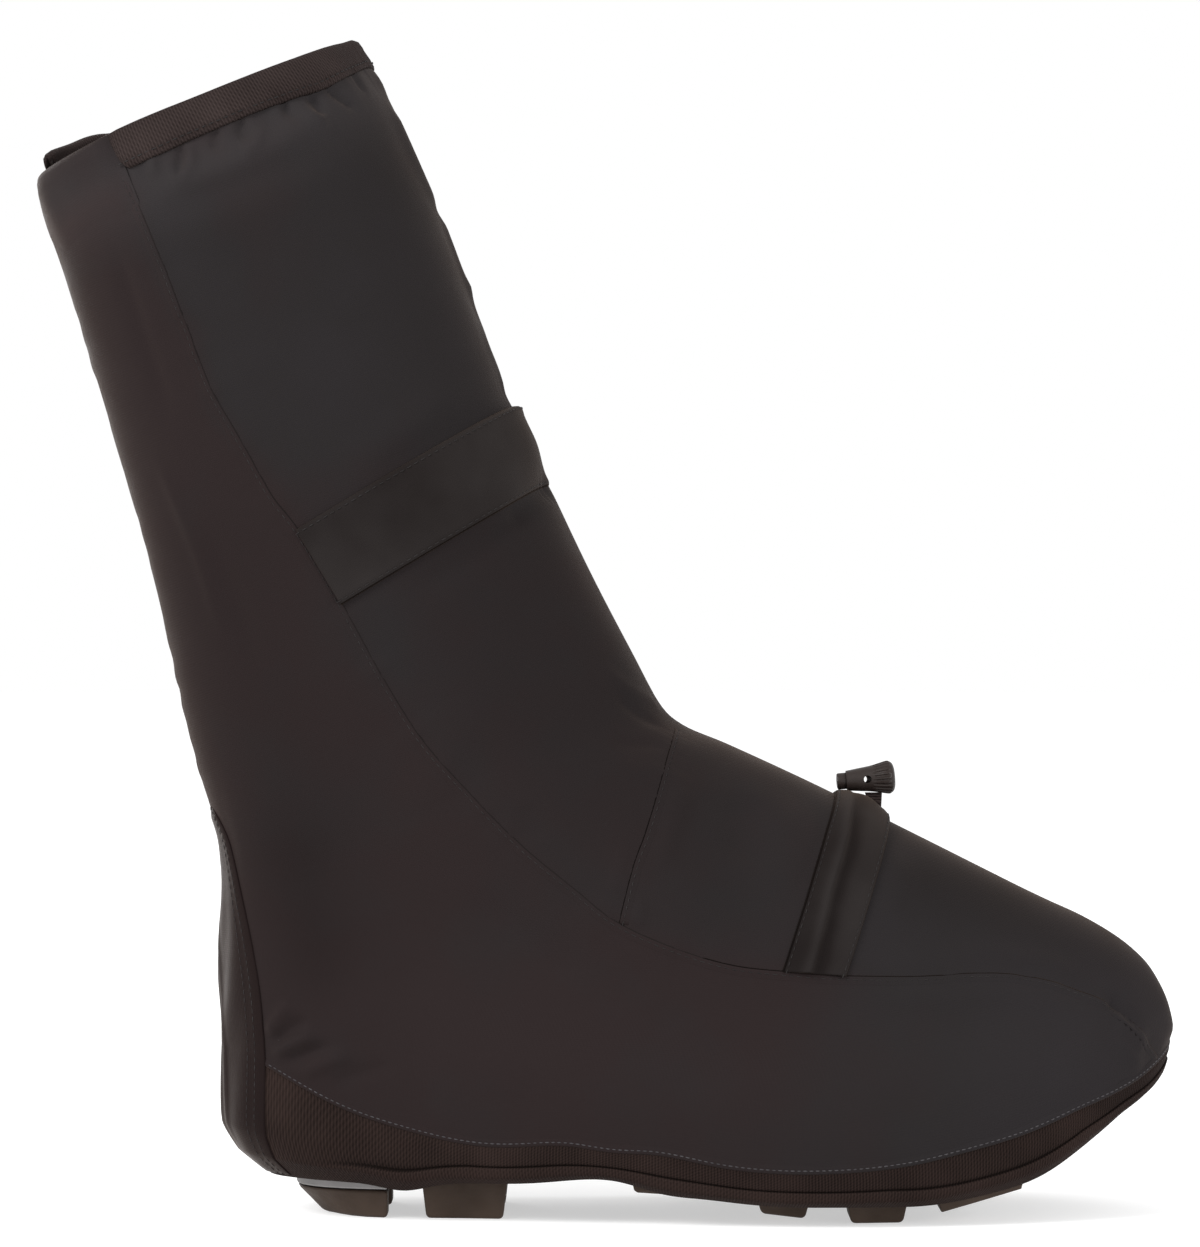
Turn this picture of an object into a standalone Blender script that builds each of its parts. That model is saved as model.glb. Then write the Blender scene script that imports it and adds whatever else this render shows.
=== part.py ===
"""Tall overshoe for a cycling shoe: a hollow fabric upper and a turned rand over a lugged sole.

Metres, +Z up, +X towards the toe. It is a right shoe, so -Y is the outer side of the foot.
"""

import math

import bmesh
import bpy
import numpy as np
from mathutils import Vector

# Driving sizes.
LENGTH = 0.300
HEIGHT = 0.3675
BALL_WIDTH = 0.108
WALL = 0.0018
GAP = 0.0003
OVERLAY_GAP = 0.0005

# The sole line: how high the rand's lower edge stands over the floor, from heel to toe. Places along the
# foot are shares of LENGTH.
HEEL_CLEARANCE = 0.0105
BALL_CLEARANCE = 0.0045
HEEL_FLAT_END = 0.25
BALL_FLAT_START = 0.62
ARCH_RISE = 0.0060
ARCH_PLACE = 0.41
ARCH_SPREAD = 0.085
TOE_SPRING = 0.0420
SPRING_START = 0.710

# The rand: its height along the foot, and how far it turns under.
RAND_HEIGHT = 0.012
RAND_HEEL_RISE = 0.030
RAND_HEEL_REACH = 0.042
RAND_TOE_HEIGHT = 0.006
RAND_TOE_START = 0.88

# Soft waves of the rand's upper seam, in columns place, reach and rise. The seam stands higher beside the heel
# and the toes, and lower at the waist.
SEAM_WAVES = (
    (0.0580, 0.0220, 0.0026),
    (0.1235, 0.0135, -0.0032),
    (0.2340, 0.0260, 0.0044),
    (0.2620, 0.0160, 0.0012),
)

# The left and right curve of the last.
TOE_SWING = 0.0075
TOE_SWING_START = 0.55
WAIST_SWING = 0.0035
WAIST_PLACE = 0.42
WAIST_SPREAD = 0.16

# How round the ends of each section are, as powers of a superellipse.
BACK_POWER = 2.2
FRONT_POWER = 2.35

# Where a section's half width leaves that of the heel and reaches that of the ball, as shares of its length.
HEEL_WIDTH_END = 0.20
BALL_WIDTH_START = 0.70

# Mesh counts: points around a ring, and the levels of the rings, closer together at the toe and the crease.
# The steps are for slopes of the surface, and the halvings for searches on it.
AROUND = 52
ANGLE_STEP = 0.02
LEVEL_STEP = 0.05
HALVINGS = 40
LEVELS = (
    0, 0.5, 1, 1.5, 2, 2.5, 3, 3.5, 4, 4.5, 5, 6, 7, 8, 8.5, 9, 9.5, 10, 10.5, 11, 12, 13, 14, 15, 16, 16.5, 17,
)

# Sections of the upper from the rand seam to the collar, one row each. The back and front points are
# shares of LENGTH and HEIGHT, and the half widths are shares of half BALL_WIDTH. The caps are the shares
# of a section that its rounded ends take. Sag is how much of the seam's curve a section follows, and
# swing is how much of the last's left and right curve it follows.
SECTION_COLUMNS = (
    "back_x", "back_z", "front_x", "front_z", "back_w", "front_w", "back_cap", "front_cap", "sag", "swing",
)
SECTIONS = np.array((
    (0.0030, 0.1400, 0.9980, 0.1400, 0.713, 1.000, 0.135, 0.34, 1.00, 1.0),
    (0.0020, 0.1550, 0.9980, 0.1610, 0.722, 1.010, 0.135, 0.35, 0.86, 1.0),
    (0.0010, 0.1690, 0.9885, 0.1890, 0.731, 1.010, 0.140, 0.37, 0.72, 1.0),
    (0.0005, 0.1820, 0.9650, 0.2150, 0.731, 1.000, 0.145, 0.41, 0.58, 1.0),
    (0.0000, 0.1990, 0.9200, 0.2410, 0.731, 0.990, 0.150, 0.46, 0.44, 1.0),
    (0.0000, 0.2180, 0.8330, 0.2765, 0.731, 0.980, 0.165, 0.53, 0.30, 0.9),
    (0.0000, 0.2370, 0.7330, 0.3175, 0.731, 0.955, 0.190, 0.58, 0.18, 0.8),
    (0.0000, 0.2570, 0.6270, 0.3605, 0.740, 0.925, 0.220, 0.60, 0.09, 0.6),
    (0.0000, 0.2760, 0.5370, 0.3945, 0.750, 0.900, 0.260, 0.60, 0.03, 0.4),
    (-0.0010, 0.2940, 0.4870, 0.4120, 0.760, 0.870, 0.290, 0.58, 0.00, 0.3),
    (-0.0040, 0.3155, 0.4600, 0.4320, 0.770, 0.850, 0.330, 0.56, 0.00, 0.2),
    (-0.0150, 0.3540, 0.4330, 0.4720, 0.787, 0.850, 0.380, 0.53, 0.00, 0.1),
    (-0.0380, 0.4300, 0.3830, 0.5510, 0.824, 0.870, 0.450, 0.50, 0.00, 0.0),
    (-0.0720, 0.5500, 0.3280, 0.6480, 0.870, 0.900, 0.500, 0.50, 0.00, 0.0),
    (-0.1080, 0.6530, 0.2780, 0.7455, 0.907, 0.926, 0.500, 0.50, 0.00, 0.0),
    (-0.1500, 0.7670, 0.2280, 0.8530, 0.926, 0.944, 0.500, 0.50, 0.00, 0.0),
    (-0.1800, 0.8410, 0.1830, 0.9400, 0.926, 0.944, 0.500, 0.50, 0.00, 0.0),
    (-0.1900, 0.8770, 0.1430, 0.9880, 0.885, 0.900, 0.500, 0.50, 0.00, 0.0),
))
SECTION_UNITS = np.array((LENGTH, HEIGHT, LENGTH, HEIGHT, BALL_WIDTH / 2, BALL_WIDTH / 2, 1, 1, 1, 1))
COLLAR = len(SECTIONS) - 1

# The rand's fold from its seam to the lip under the sole, in columns lift, inset, wall_in and wall_up. Lift
# is a share of the rand's height, and inset is how far inside the seam's outline the fold lies. The last
# two columns say which way its wall grows.
RAND_FOLD = (
    (1.00, 0.0000, 1.0, 0.0),
    (0.75, -0.0003, 1.0, 0.0),
    (0.50, -0.0003, 1.0, 0.0),
    (0.20, 0.0006, 1.0, 0.3),
    (0.02, 0.0045, 0.7, 0.6),
    (0.00, 0.0130, 0.0, 1.0),
)
LIP_INSET = RAND_FOLD[-1][1]

# The sole: plate, insole, wedge and lugs.
PLATE_INSET = 0.0078
PLATE_THICKNESS = 0.0040
INSOLE_INSET = 0.0090
INSOLE_THICKNESS = 0.0030
SOLE_STATIONS = 48
SOLE_END_ANGLE = 0.06
LUG_INSET = LIP_INSET + 0.0006
LUG_TAPER = 0.0016
LUG_BEVEL = 0.0008
LUG_DROP = 0.0012
LUG_STATIONS = 5
LUG_FLAT_ANGLE = math.radians(0.5)
LUG_EDGE_ANGLE = math.radians(30.0)
WEDGE_BOTTOM = 0.0078
REAR_LUG_END = 0.180
REAR_LUG_REACH = 0.013
REAR_LUG_SHIFT = 0.010
REAR_LUG_BEVEL = 0.007
REAR_LUG_BEVEL_SPREAD = 1.6
REAR_LUG_STATIONS = 15

# Side lugs, the same on both edges. Start and end are shares of LENGTH, the bottoms are heights over the
# floor at both ends, and reach is how far the lug goes in under the foot. The floor lies LUG_DROP below
# the level that the upper's heights are measured from.
LUG_COLUMNS = ("name", "start", "end", "start_bottom", "end_bottom", "reach")
LUGS = (
    ("heel_lug_front", 0.215, 0.305, 0.0000, 0.0000, 0.016),
    ("fore_lug_waist", 0.430, 0.540, 0.0090, 0.0075, 0.012),
    ("fore_lug_rear", 0.560, 0.615, 0.0030, 0.0015, 0.021),
    ("fore_lug_ball", 0.652, 0.716, 0.0000, 0.0000, 0.023),
    ("fore_lug_toe", 0.745, 0.840, 0.0030, 0.0095, 0.019),
)

# The heel counter's half width, as an angle around the section, and its top on the back line.
# Its outline narrows from the shoulder to the top as a superellipse. Its stations are lifts of the rand, then
# levels of the upper.
COUNTER_ANGLE = 0.44
COUNTER_SHOULDER = 0.080
COUNTER_TOP = 0.127
COUNTER_POWER = 3.0
COUNTER_LAST_RISE = 0.98
COUNTER_THICKNESS = 0.0014
COUNTER_LIFTS = (0.08, 0.20, 0.50, 0.75)
COUNTER_LEVELS = (0.0, 1.0, 2.0, 3.0, 4.0, 5.0, 6.0, 7.0, 8.0, 9.0, 9.7, 10.2, 10.5, 10.7)
COUNTER_ACROSS = 9

# Strips over the front line, placed on the side view: the middle of the sewn end, the direction, the width.
# Slant is how much further down the rear edge's sewn end lies than the front edge's.
STRAP = {
    "start": (0.0340, 0.2005), "angle": math.radians(31.0), "width": 0.0270, "thickness": 0.0013, "slant": 0.0,
}
CHANNEL = {
    "start": (0.1861, 0.0787), "angle": math.radians(71.0), "width": 0.0192, "thickness": 0.0010, "slant": 0.0049,
}
STRIP_ALONG = 26
STRIP_ACROSS = 3

# The collar binding: its height on the shaft, and the points of the ring that it runs between.
BINDING_HEIGHT = 0.0078
BINDING_THICKNESS = 0.0010
BINDING_FIRST = 9
BINDING_LAST = 51
COLLAR_STEP = 0.1

# The cord lock, laid along its own Z axis from the button's face to the barrel's closed end.
LOCK_PLACE = (0.1946, 0.0040, 0.1334)
LOCK_TILT = math.radians(85.0)
BUTTON_LENGTH = 0.0035
BUTTON_TRAVEL = 0.0025
BUTTON_RADIUS = 0.0026
BUTTON_FACE_RADIUS = 0.0021
BUTTON_CHAMFER = 0.0006
STEM_RADIUS = 0.0020
STEM_LENGTH = 0.0090
BARREL_START = BUTTON_LENGTH + BUTTON_TRAVEL + GAP
BARREL_LENGTH = 0.0122
BORE_RADIUS = STEM_RADIUS + GAP
BORE_DEPTH = 0.0098
CORD_HOLE_RADIUS = 0.0012
CORD_HOLE_PLACE = 0.0034
DRILL_LENGTH = 0.03
DRILL_STEPS = 14
TURN_STEPS = 18
TAB_PLACE = 0.2062
TAB_WIDTH = 0.0060
TAB_THICKNESS = 0.0018
TAB_STATIONS = 5
TAB_LIFT = 0.0002

# The barrel's outside from mouth to closed end, in columns along and radius. Along is a share of
# BARREL_LENGTH.
BARREL_CURVE = (
    (0.000, 0.00320),
    (0.033, 0.00360),
    (0.400, 0.00416),
    (0.780, 0.00520),
    (0.870, 0.00504),
    (0.950, 0.00426),
    (0.992, 0.00260),
)

COLOURS = {
    "shell_fabric": ((0.030, 0.027, 0.027, 1.0), 0.75),
    "coated_fabric": ((0.033, 0.028, 0.028, 1.0), 0.45),
    "elastic": ((0.026, 0.022, 0.021, 1.0), 0.85),
    "rubber": ((0.040, 0.033, 0.030, 1.0), 0.65),
    "pale_foam": ((0.240, 0.230, 0.225, 1.0), 0.70),
    "plate_plastic": ((0.060, 0.058, 0.057, 1.0), 0.50),
    "insole_foam": ((0.050, 0.048, 0.047, 1.0), 0.90),
    "lock_plastic": ((0.022, 0.021, 0.021, 1.0), 0.45),
}


def smooth(share):
    """A soft step from 0 to 1."""
    share = np.clip(share, 0.0, 1.0)
    return share * share * (3.0 - 2.0 * share)


def sole_line(x):
    """Height of the rand's lower edge over the floor."""
    share = x / LENGTH
    to_ball = smooth((share - HEEL_FLAT_END) / (BALL_FLAT_START - HEEL_FLAT_END))
    level = HEEL_CLEARANCE + (BALL_CLEARANCE - HEEL_CLEARANCE) * to_ball
    arch = ARCH_RISE * np.exp(-(((share - ARCH_PLACE) / ARCH_SPREAD) ** 2))
    spring = TOE_SPRING * np.clip((share - SPRING_START) / (1.0 - SPRING_START), 0.0, None) ** 2
    return level + arch + spring


def seam_line(x):
    """Height of the seam between upper and rand."""
    toe = smooth((x / LENGTH - RAND_TOE_START) / (1.0 - RAND_TOE_START))
    height = RAND_HEIGHT + (RAND_TOE_HEIGHT - RAND_HEIGHT) * toe
    height = height + RAND_HEEL_RISE * np.exp(-((x / RAND_HEEL_REACH) ** 2))
    for place, reach, rise in SEAM_WAVES:
        height = height + rise * np.exp(-(((x - place) / reach) ** 2))
    return sole_line(x) + height


def last_swing(x):
    """Left and right curve of the middle line: the toe turns in and the waist turns out."""
    share = x / LENGTH
    toe = TOE_SWING * smooth((share - TOE_SWING_START) / (1.0 - TOE_SWING_START))
    waist = WAIST_SWING * np.exp(-(((share - WAIST_PLACE) / WAIST_SPREAD) ** 2))
    return toe - waist


def section(v):
    """The section columns at level v, by smooth curves through the table's rows."""
    v = np.clip(np.asarray(v, dtype=float), 0.0, COLLAR)
    low = np.minimum(v.astype(int), COLLAR - 1)
    part = (v - low)[..., None]
    before = SECTIONS[np.maximum(low - 1, 0)]
    start = SECTIONS[low]
    end = SECTIONS[low + 1]
    after = SECTIONS[np.minimum(low + 2, COLLAR)]
    leave = (end - before) / 2.0
    arrive = (after - start) / 2.0
    square = part * part
    cube = square * part
    mixed = (2 * cube - 3 * square + 1) * start + (cube - 2 * square + part) * leave
    mixed = mixed + (3 * square - 2 * cube) * end + (cube - square) * arrive
    mixed = mixed * SECTION_UNITS
    return {name: mixed[..., i] for i, name in enumerate(SECTION_COLUMNS)}


def cap(distance, reach, power):
    """Rounded end: 0 at the end itself and 1 from the reach inwards."""
    rest = np.clip(1.0 - distance / reach, 0.0, 1.0)
    return np.clip(1.0 - rest**power, 0.0, 1.0) ** (1.0 / power)


def half_width(along, row):
    """Half width of a section at a share of the way from back to front."""
    to_ball = smooth((along - HEEL_WIDTH_END) / (BALL_WIDTH_START - HEEL_WIDTH_END))
    width = row["back_w"] + (row["front_w"] - row["back_w"]) * to_ball
    return width * cap(along, row["back_cap"], BACK_POWER) * cap(1.0 - along, row["front_cap"], FRONT_POWER)


def sag(along):
    """How far the rand seam hangs below a straight line from back to front."""
    row = section(0.0)
    x = row["back_x"] + (row["front_x"] - row["back_x"]) * along
    ends = seam_line(row["back_x"]) * (1.0 - along) + seam_line(row["front_x"]) * along
    return seam_line(x) - ends


def side_height(along, row):
    """Height of a section's side line."""
    return row["back_z"] + (row["front_z"] - row["back_z"]) * along + row["sag"] * sag(along)


def upper_point(angle, v):
    """A point on the upper: angle 0 is the back, half a turn is the front, by way of the outer side."""
    angle = np.asarray(angle, dtype=float)
    row = section(v)
    along = (1.0 - np.cos(angle)) / 2.0
    x = row["back_x"] + (row["front_x"] - row["back_x"]) * along
    side = -np.sign(np.sin(angle))
    y = row["swing"] * last_swing(x) + side * half_width(along, row)
    return np.stack(np.broadcast_arrays(x, y, side_height(along, row)), axis=-1)


def upper_normal(angle, v):
    """Outward direction of the upper's face, from small steps around and up."""
    angle, v = np.broadcast_arrays(np.asarray(angle, dtype=float), np.asarray(v, dtype=float))
    around = upper_point(angle + ANGLE_STEP, v) - upper_point(angle - ANGLE_STEP, v)
    above = upper_point(angle, np.minimum(v + LEVEL_STEP, COLLAR))
    below = upper_point(angle, np.maximum(v - LEVEL_STEP, 0.0))
    normal = np.cross(around, above - below)
    return normal / np.linalg.norm(normal, axis=-1, keepdims=True)


def upper_at(angle, v, offset):
    """A point a distance outside the upper's face."""
    return upper_point(angle, v) + offset * upper_normal(angle, v)


def find_on_side(x, z):
    """The angle and level of the outer side's point that shows at x, z in the side view."""
    low = np.zeros_like(x)
    high = np.full_like(x, float(COLLAR))
    for _ in range(HALVINGS):
        middle = (low + high) / 2.0
        row = section(middle)
        along = (x - row["back_x"]) / (row["front_x"] - row["back_x"])
        below = side_height(along, row) < z
        low = np.where(below, middle, low)
        high = np.where(below, high, middle)
    row = section(low)
    along = (x - row["back_x"]) / (row["front_x"] - row["back_x"])
    return np.arccos(np.clip(1.0 - 2.0 * along, -1.0, 1.0)), low, along


def foot_outline(angle, inset):
    """Outline of the foot at the rand seam, drawn in by an inset."""
    row = section(0.0)
    along = (1.0 - np.cos(angle)) / 2.0
    x = row["back_x"] + inset + (row["front_x"] - row["back_x"] - 2.0 * inset) * along
    narrow = dict(row)
    narrow["back_w"] = row["back_w"] - inset
    narrow["front_w"] = row["front_w"] - inset
    y = last_swing(x) - np.sign(np.sin(angle)) * half_width(along, narrow)
    return x, y


def outline_at(x, inset, side):
    """A point of the drawn-in outline at a given x on the outer side (-1) or the inner side (+1)."""
    row = section(0.0)
    start = row["back_x"] + inset
    along = np.clip((x - start) / (row["front_x"] - inset - start), 0.0, 1.0)
    turn = np.arccos(1.0 - 2.0 * along)
    angle = turn if side < 0 else 2.0 * math.pi - turn
    return foot_outline(angle, inset)


def rand_point(angle, lift, inset):
    """A point of the rand at a share of its height."""
    x, y = foot_outline(angle, inset)
    seam = upper_point(angle, 0.0)[..., 2]
    z = sole_line(x) + lift * (seam - sole_line(x))
    return np.stack((x, y, z), axis=-1)


def fold_inset(lift):
    """The inset of the rand's fold at a share of its height."""
    lifts = [row[0] for row in reversed(RAND_FOLD)]
    insets = [row[1] for row in reversed(RAND_FOLD)]
    return np.interp(lift, lifts, insets)


def material(name):
    """Plain material with the colour and roughness listed for its name."""
    if name in bpy.data.materials:
        return bpy.data.materials[name]
    made = bpy.data.materials.new(name)
    made.use_nodes = True
    shader = made.node_tree.nodes["Principled BSDF"]
    shader.inputs["Base Color"].default_value = COLOURS[name][0]
    shader.inputs["Roughness"].default_value = COLOURS[name][1]
    return made


def add_object(name, vertices, faces, slot):
    """One named object from vertices and faces, facing outwards."""
    mesh = bpy.data.meshes.new(name)
    mesh.from_pydata([tuple(map(float, vertex)) for vertex in vertices], [], faces)
    shaper = bmesh.new()
    shaper.from_mesh(mesh)
    bmesh.ops.triangulate(shaper, faces=[face for face in shaper.faces if len(face.verts) == 4])
    bmesh.ops.recalc_face_normals(shaper, faces=shaper.faces)
    shaper.to_mesh(mesh)
    shaper.free()
    made = bpy.data.objects.new(name, mesh)
    bpy.context.scene.collection.objects.link(made)
    made.data.materials.append(material(slot))
    return made


def sweep(name, sections, slot, closed):
    """A solid from a row of closed sections, each with the same number of points.

    A closed sweep joins its last section to its first, and an open one is capped at both ends.
    """
    sections = np.asarray(sections)
    count, points = sections.shape[:2]
    faces = []
    for i in range(count if closed else count - 1):
        for j in range(points):
            a = i * points + j
            b = i * points + (j + 1) % points
            c = ((i + 1) % count) * points + (j + 1) % points
            d = ((i + 1) % count) * points + j
            faces.append((a, b, c, d))
    if not closed:
        for i in (0, count - 1):
            low = i * points
            for j in range(points // 2 - 1):
                faces.append((low + j, low + j + 1, low + points - 2 - j, low + points - 1 - j))
    return add_object(name, sections.reshape(-1, 3), faces, slot)


def sheet(name, outer, inner, slot):
    """A solid between two grids of points, as a sweep of thin sections from outer face to inner face."""
    outer = np.asarray(outer)
    inner = np.asarray(inner)
    return sweep(name, np.concatenate((outer, inner[:, ::-1]), axis=1), slot, False)


def build_upper():
    """The hollow shell: rings from the rand seam to the collar, with an inner face one wall inside."""
    angles = np.arange(AROUND) * 2.0 * math.pi / AROUND
    levels = np.array(LEVELS, dtype=float)
    sections = []
    for angle in angles:
        outer = upper_point(angle, levels)
        inner = outer - WALL * upper_normal(angle, levels)
        inner[0] = seam_inside(angle)
        sections.append(np.concatenate((outer, inner[::-1])))
    return sweep("upper", sections, "shell_fabric", True)


def seam_inside(angle):
    """Inner edge of the upper's lower rim, cut level with its outer edge."""
    normal = upper_normal(angle, 0.0)
    normal[..., 2] = 0.0
    return upper_point(angle, 0.0) - WALL * normal / np.linalg.norm(normal, axis=-1, keepdims=True)


def build_rand():
    """The elastic strip from the seam down and under the foot."""
    sections = []
    for angle in np.arange(AROUND) * 2.0 * math.pi / AROUND:
        outer = []
        inner = []
        for lift, inset, wall_in, wall_up in RAND_FOLD:
            outer.append(rand_point(angle, lift, inset))
            inner.append(rand_point(angle, lift, inset + wall_in * WALL) + (0.0, 0.0, wall_up * WALL))
        outer[0] = upper_point(angle, 0.0) - (0.0, 0.0, GAP)
        inner[0] = seam_inside(angle) - (0.0, 0.0, GAP)
        sections.append(outer + inner[::-1])
    return sweep("rand", sections, "elastic", True)


def sole_sheet(name, inset, bottom, thickness, slot):
    """A sheet that follows the sole line under the whole foot."""
    top_rows = []
    bottom_rows = []
    for angle in np.linspace(SOLE_END_ANGLE, math.pi - SOLE_END_ANGLE, SOLE_STATIONS):
        turns = np.array((angle, 2.0 * math.pi - angle))
        x, y = foot_outline(turns, inset)
        low = sole_line(x) + bottom
        bottom_rows.append(np.stack((x, y, low), axis=-1))
        top_rows.append(np.stack((x, y, low + thickness), axis=-1))
    return sheet(name, top_rows, bottom_rows, slot)


def bevel_bottom(made, width):
    """Soften a lug's lower edges."""
    shaper = bmesh.new()
    shaper.from_mesh(made.data)
    bmesh.ops.dissolve_limit(shaper, angle_limit=LUG_FLAT_ANGLE, verts=shaper.verts, edges=shaper.edges)
    middle = sum((vertex.co.z for vertex in shaper.verts)) / len(shaper.verts)
    edges = [edge for edge in shaper.edges if all(vertex.co.z < middle for vertex in edge.verts)]
    edges = [edge for edge in edges if edge.calc_face_angle(0.0) > LUG_EDGE_ANGLE]
    bmesh.ops.bevel(shaper, geom=edges, offset=width, segments=1, affect="EDGES", clamp_overlap=True)
    bmesh.ops.triangulate(shaper, faces=shaper.faces)
    shaper.to_mesh(made.data)
    shaper.free()
    return made


def lug_top(x):
    """Where a lug's top face lies, just under the sole plate."""
    return sole_line(x) + WALL + OVERLAY_GAP - GAP


def build_side_lug(row, side, name):
    """A block under one edge of the foot, tapered towards the floor."""
    sections = []
    for share in np.linspace(0.0, 1.0, LUG_STATIONS):
        x = (row["start"] + (row["end"] - row["start"]) * share) * LENGTH
        floor = row["start_bottom"] + (row["end_bottom"] - row["start_bottom"]) * share - LUG_DROP
        foot_x = x + LUG_TAPER * (1.0 - 2.0 * share)
        _, outer = outline_at(x, LUG_INSET, side)
        _, inner = outline_at(x, LUG_INSET + row["reach"], side)
        tuck = -side * LUG_TAPER
        top = lug_top(x)
        sections.append((
            (x, outer, top),
            (foot_x, outer + tuck, floor),
            (foot_x, inner - tuck, floor),
            (x, inner, top),
        ))
    return bevel_bottom(sweep(name, sections, "rubber", False), LUG_BEVEL)


def crescent_outline(inset):
    """Arc around the heel at an inset, moved forward, with both ends at the same x."""
    row = section(0.0)
    start = row["back_x"] + inset
    along = (REAR_LUG_END * LENGTH - REAR_LUG_SHIFT - start) / (row["front_x"] - inset - start)
    last = math.acos(1.0 - 2.0 * along)
    x, y = foot_outline(np.linspace(-last, last, REAR_LUG_STATIONS), inset)
    return np.stack((x + REAR_LUG_SHIFT, y), axis=-1)


def build_heel_crescent(name, top, bottom, taper, bevel, slot):
    """A curved block around the back of the heel, from a height function down to a level."""
    outer = crescent_outline(LUG_INSET)
    inner = crescent_outline(LUG_INSET + REAR_LUG_REACH)
    back = 1.0 - np.abs(np.linspace(-1.0, 1.0, len(outer)))
    inward = (inner - outer) / np.linalg.norm(inner - outer, axis=-1, keepdims=True)
    low_outer = outer + inward * (taper + bevel * smooth(back * REAR_LUG_BEVEL_SPREAD))[:, None]
    low_inner = inner - inward * taper
    sections = []
    for i in range(len(outer)):
        sections.append((
            (*outer[i], top(outer[i, 0])),
            (*low_outer[i], bottom),
            (*low_inner[i], bottom),
            (*inner[i], top(inner[i, 0])),
        ))
    return sweep(name, sections, slot, False)


def build_counter():
    """The panel over the back of the heel, from the rand's lower edge to a rounded top."""
    across = np.linspace(-1.0, 1.0, COUNTER_ACROSS)
    outer = []
    inner = []
    for lift in COUNTER_LIFTS:
        angles = COUNTER_ANGLE * across
        near = fold_inset(lift) - OVERLAY_GAP
        outer.append(rand_point(angles, lift, near - COUNTER_THICKNESS))
        inner.append(rand_point(angles, lift, near))
    for level in COUNTER_LEVELS:
        height = upper_point(0.0, level)[2]
        rise = (height - COUNTER_SHOULDER) / (COUNTER_TOP - COUNTER_SHOULDER)
        rise = np.clip(rise, 0.0, COUNTER_LAST_RISE)
        angles = COUNTER_ANGLE * (1.0 - rise**COUNTER_POWER) ** (1.0 / COUNTER_POWER) * across
        outer.append(upper_at(angles, level, OVERLAY_GAP + COUNTER_THICKNESS))
        inner.append(upper_at(angles, level, OVERLAY_GAP))
    return sheet("heel_counter", outer, inner, "coated_fabric")


def build_strip(name, shape, slot):
    """A strip that leaves the side at its sewn end, crosses the front line and comes down the other side."""
    ahead = np.array((math.cos(shape["angle"]), math.sin(shape["angle"])))
    across = np.array((-ahead[1], ahead[0]))
    turns = np.linspace(0.0, math.pi / 2.0, STRIP_ALONG // 2 + 1)
    outer_rows = []
    inner_rows = []
    for share in np.linspace(-0.5, 0.5, STRIP_ACROSS + 1):
        start = np.array(shape["start"]) + across * share * shape["width"]
        start = start - ahead * shape["slant"] * (share + 0.5)
        short = 0.0
        long = LENGTH
        for _ in range(HALVINGS):
            middle = (short + long) / 2.0
            spot = start + ahead * middle
            reached = find_on_side(spot[0:1], spot[1:2])[2][0] > 1.0
            short, long = (short, middle) if reached else (middle, long)
        run = short * np.sin(turns)
        angle, level, _ = find_on_side(start[0] + ahead[0] * run, start[1] + ahead[1] * run)
        angle[-1] = math.pi
        angle = np.concatenate((angle, 2.0 * math.pi - angle[-2::-1]))
        level = np.concatenate((level, level[-2::-1]))
        outer_rows.append(upper_at(angle, level, OVERLAY_GAP + shape["thickness"]))
        inner_rows.append(upper_at(angle, level, OVERLAY_GAP))
    outer = np.swapaxes(np.asarray(outer_rows), 0, 1)
    inner = np.swapaxes(np.asarray(inner_rows), 0, 1)
    return sheet(name, outer, inner, slot)


def build_binding():
    """Elastic folded over the collar: down the outside, over the edge and down the inside."""
    sections = []
    for angle in np.arange(BINDING_FIRST, BINDING_LAST + 1) * 2.0 * math.pi / AROUND:
        step = upper_point(angle, COLLAR) - upper_point(angle, COLLAR - COLLAR_STEP)
        speed = np.linalg.norm(step) / COLLAR_STEP
        up = step / np.linalg.norm(step)
        low = COLLAR - BINDING_HEIGHT / speed
        out_near = OVERLAY_GAP
        out_far = OVERLAY_GAP + BINDING_THICKNESS
        in_near = -(WALL + OVERLAY_GAP)
        in_far = -(WALL + OVERLAY_GAP + BINDING_THICKNESS)
        sections.append((
            upper_at(angle, low, out_far),
            upper_at(angle, COLLAR, out_far) + up * out_far,
            upper_at(angle, COLLAR, in_far) + up * out_far,
            upper_at(angle, low, in_far),
            upper_at(angle, low, in_near),
            upper_at(angle, COLLAR, in_near) + up * GAP,
            upper_at(angle, COLLAR, out_near) + up * GAP,
            upper_at(angle, low, out_near),
        ))
    return sweep("collar_binding", sections, "elastic", False)


def turned(name, profile, slot):
    """A turned solid from radius and height pairs, with points on the axis at both ends."""
    rings = [(radius, height) for radius, height in profile if radius > 0.0]
    vertices = [(0.0, 0.0, profile[0][1])]
    for radius, height in rings:
        for i in range(TURN_STEPS):
            turn = 2.0 * math.pi * i / TURN_STEPS
            vertices.append((radius * math.cos(turn), radius * math.sin(turn), height))
    vertices.append((0.0, 0.0, profile[-1][1]))
    faces = []
    last = len(vertices) - 1
    for i in range(TURN_STEPS):
        k = (i + 1) % TURN_STEPS
        faces.append((0, 1 + k, 1 + i))
        for j in range(len(rings) - 1):
            low = 1 + j * TURN_STEPS
            high = low + TURN_STEPS
            faces.append((low + i, low + k, high + k, high + i))
        faces.append((last - TURN_STEPS + i, last - TURN_STEPS + k, last))
    return add_object(name, vertices, faces, slot)


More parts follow.
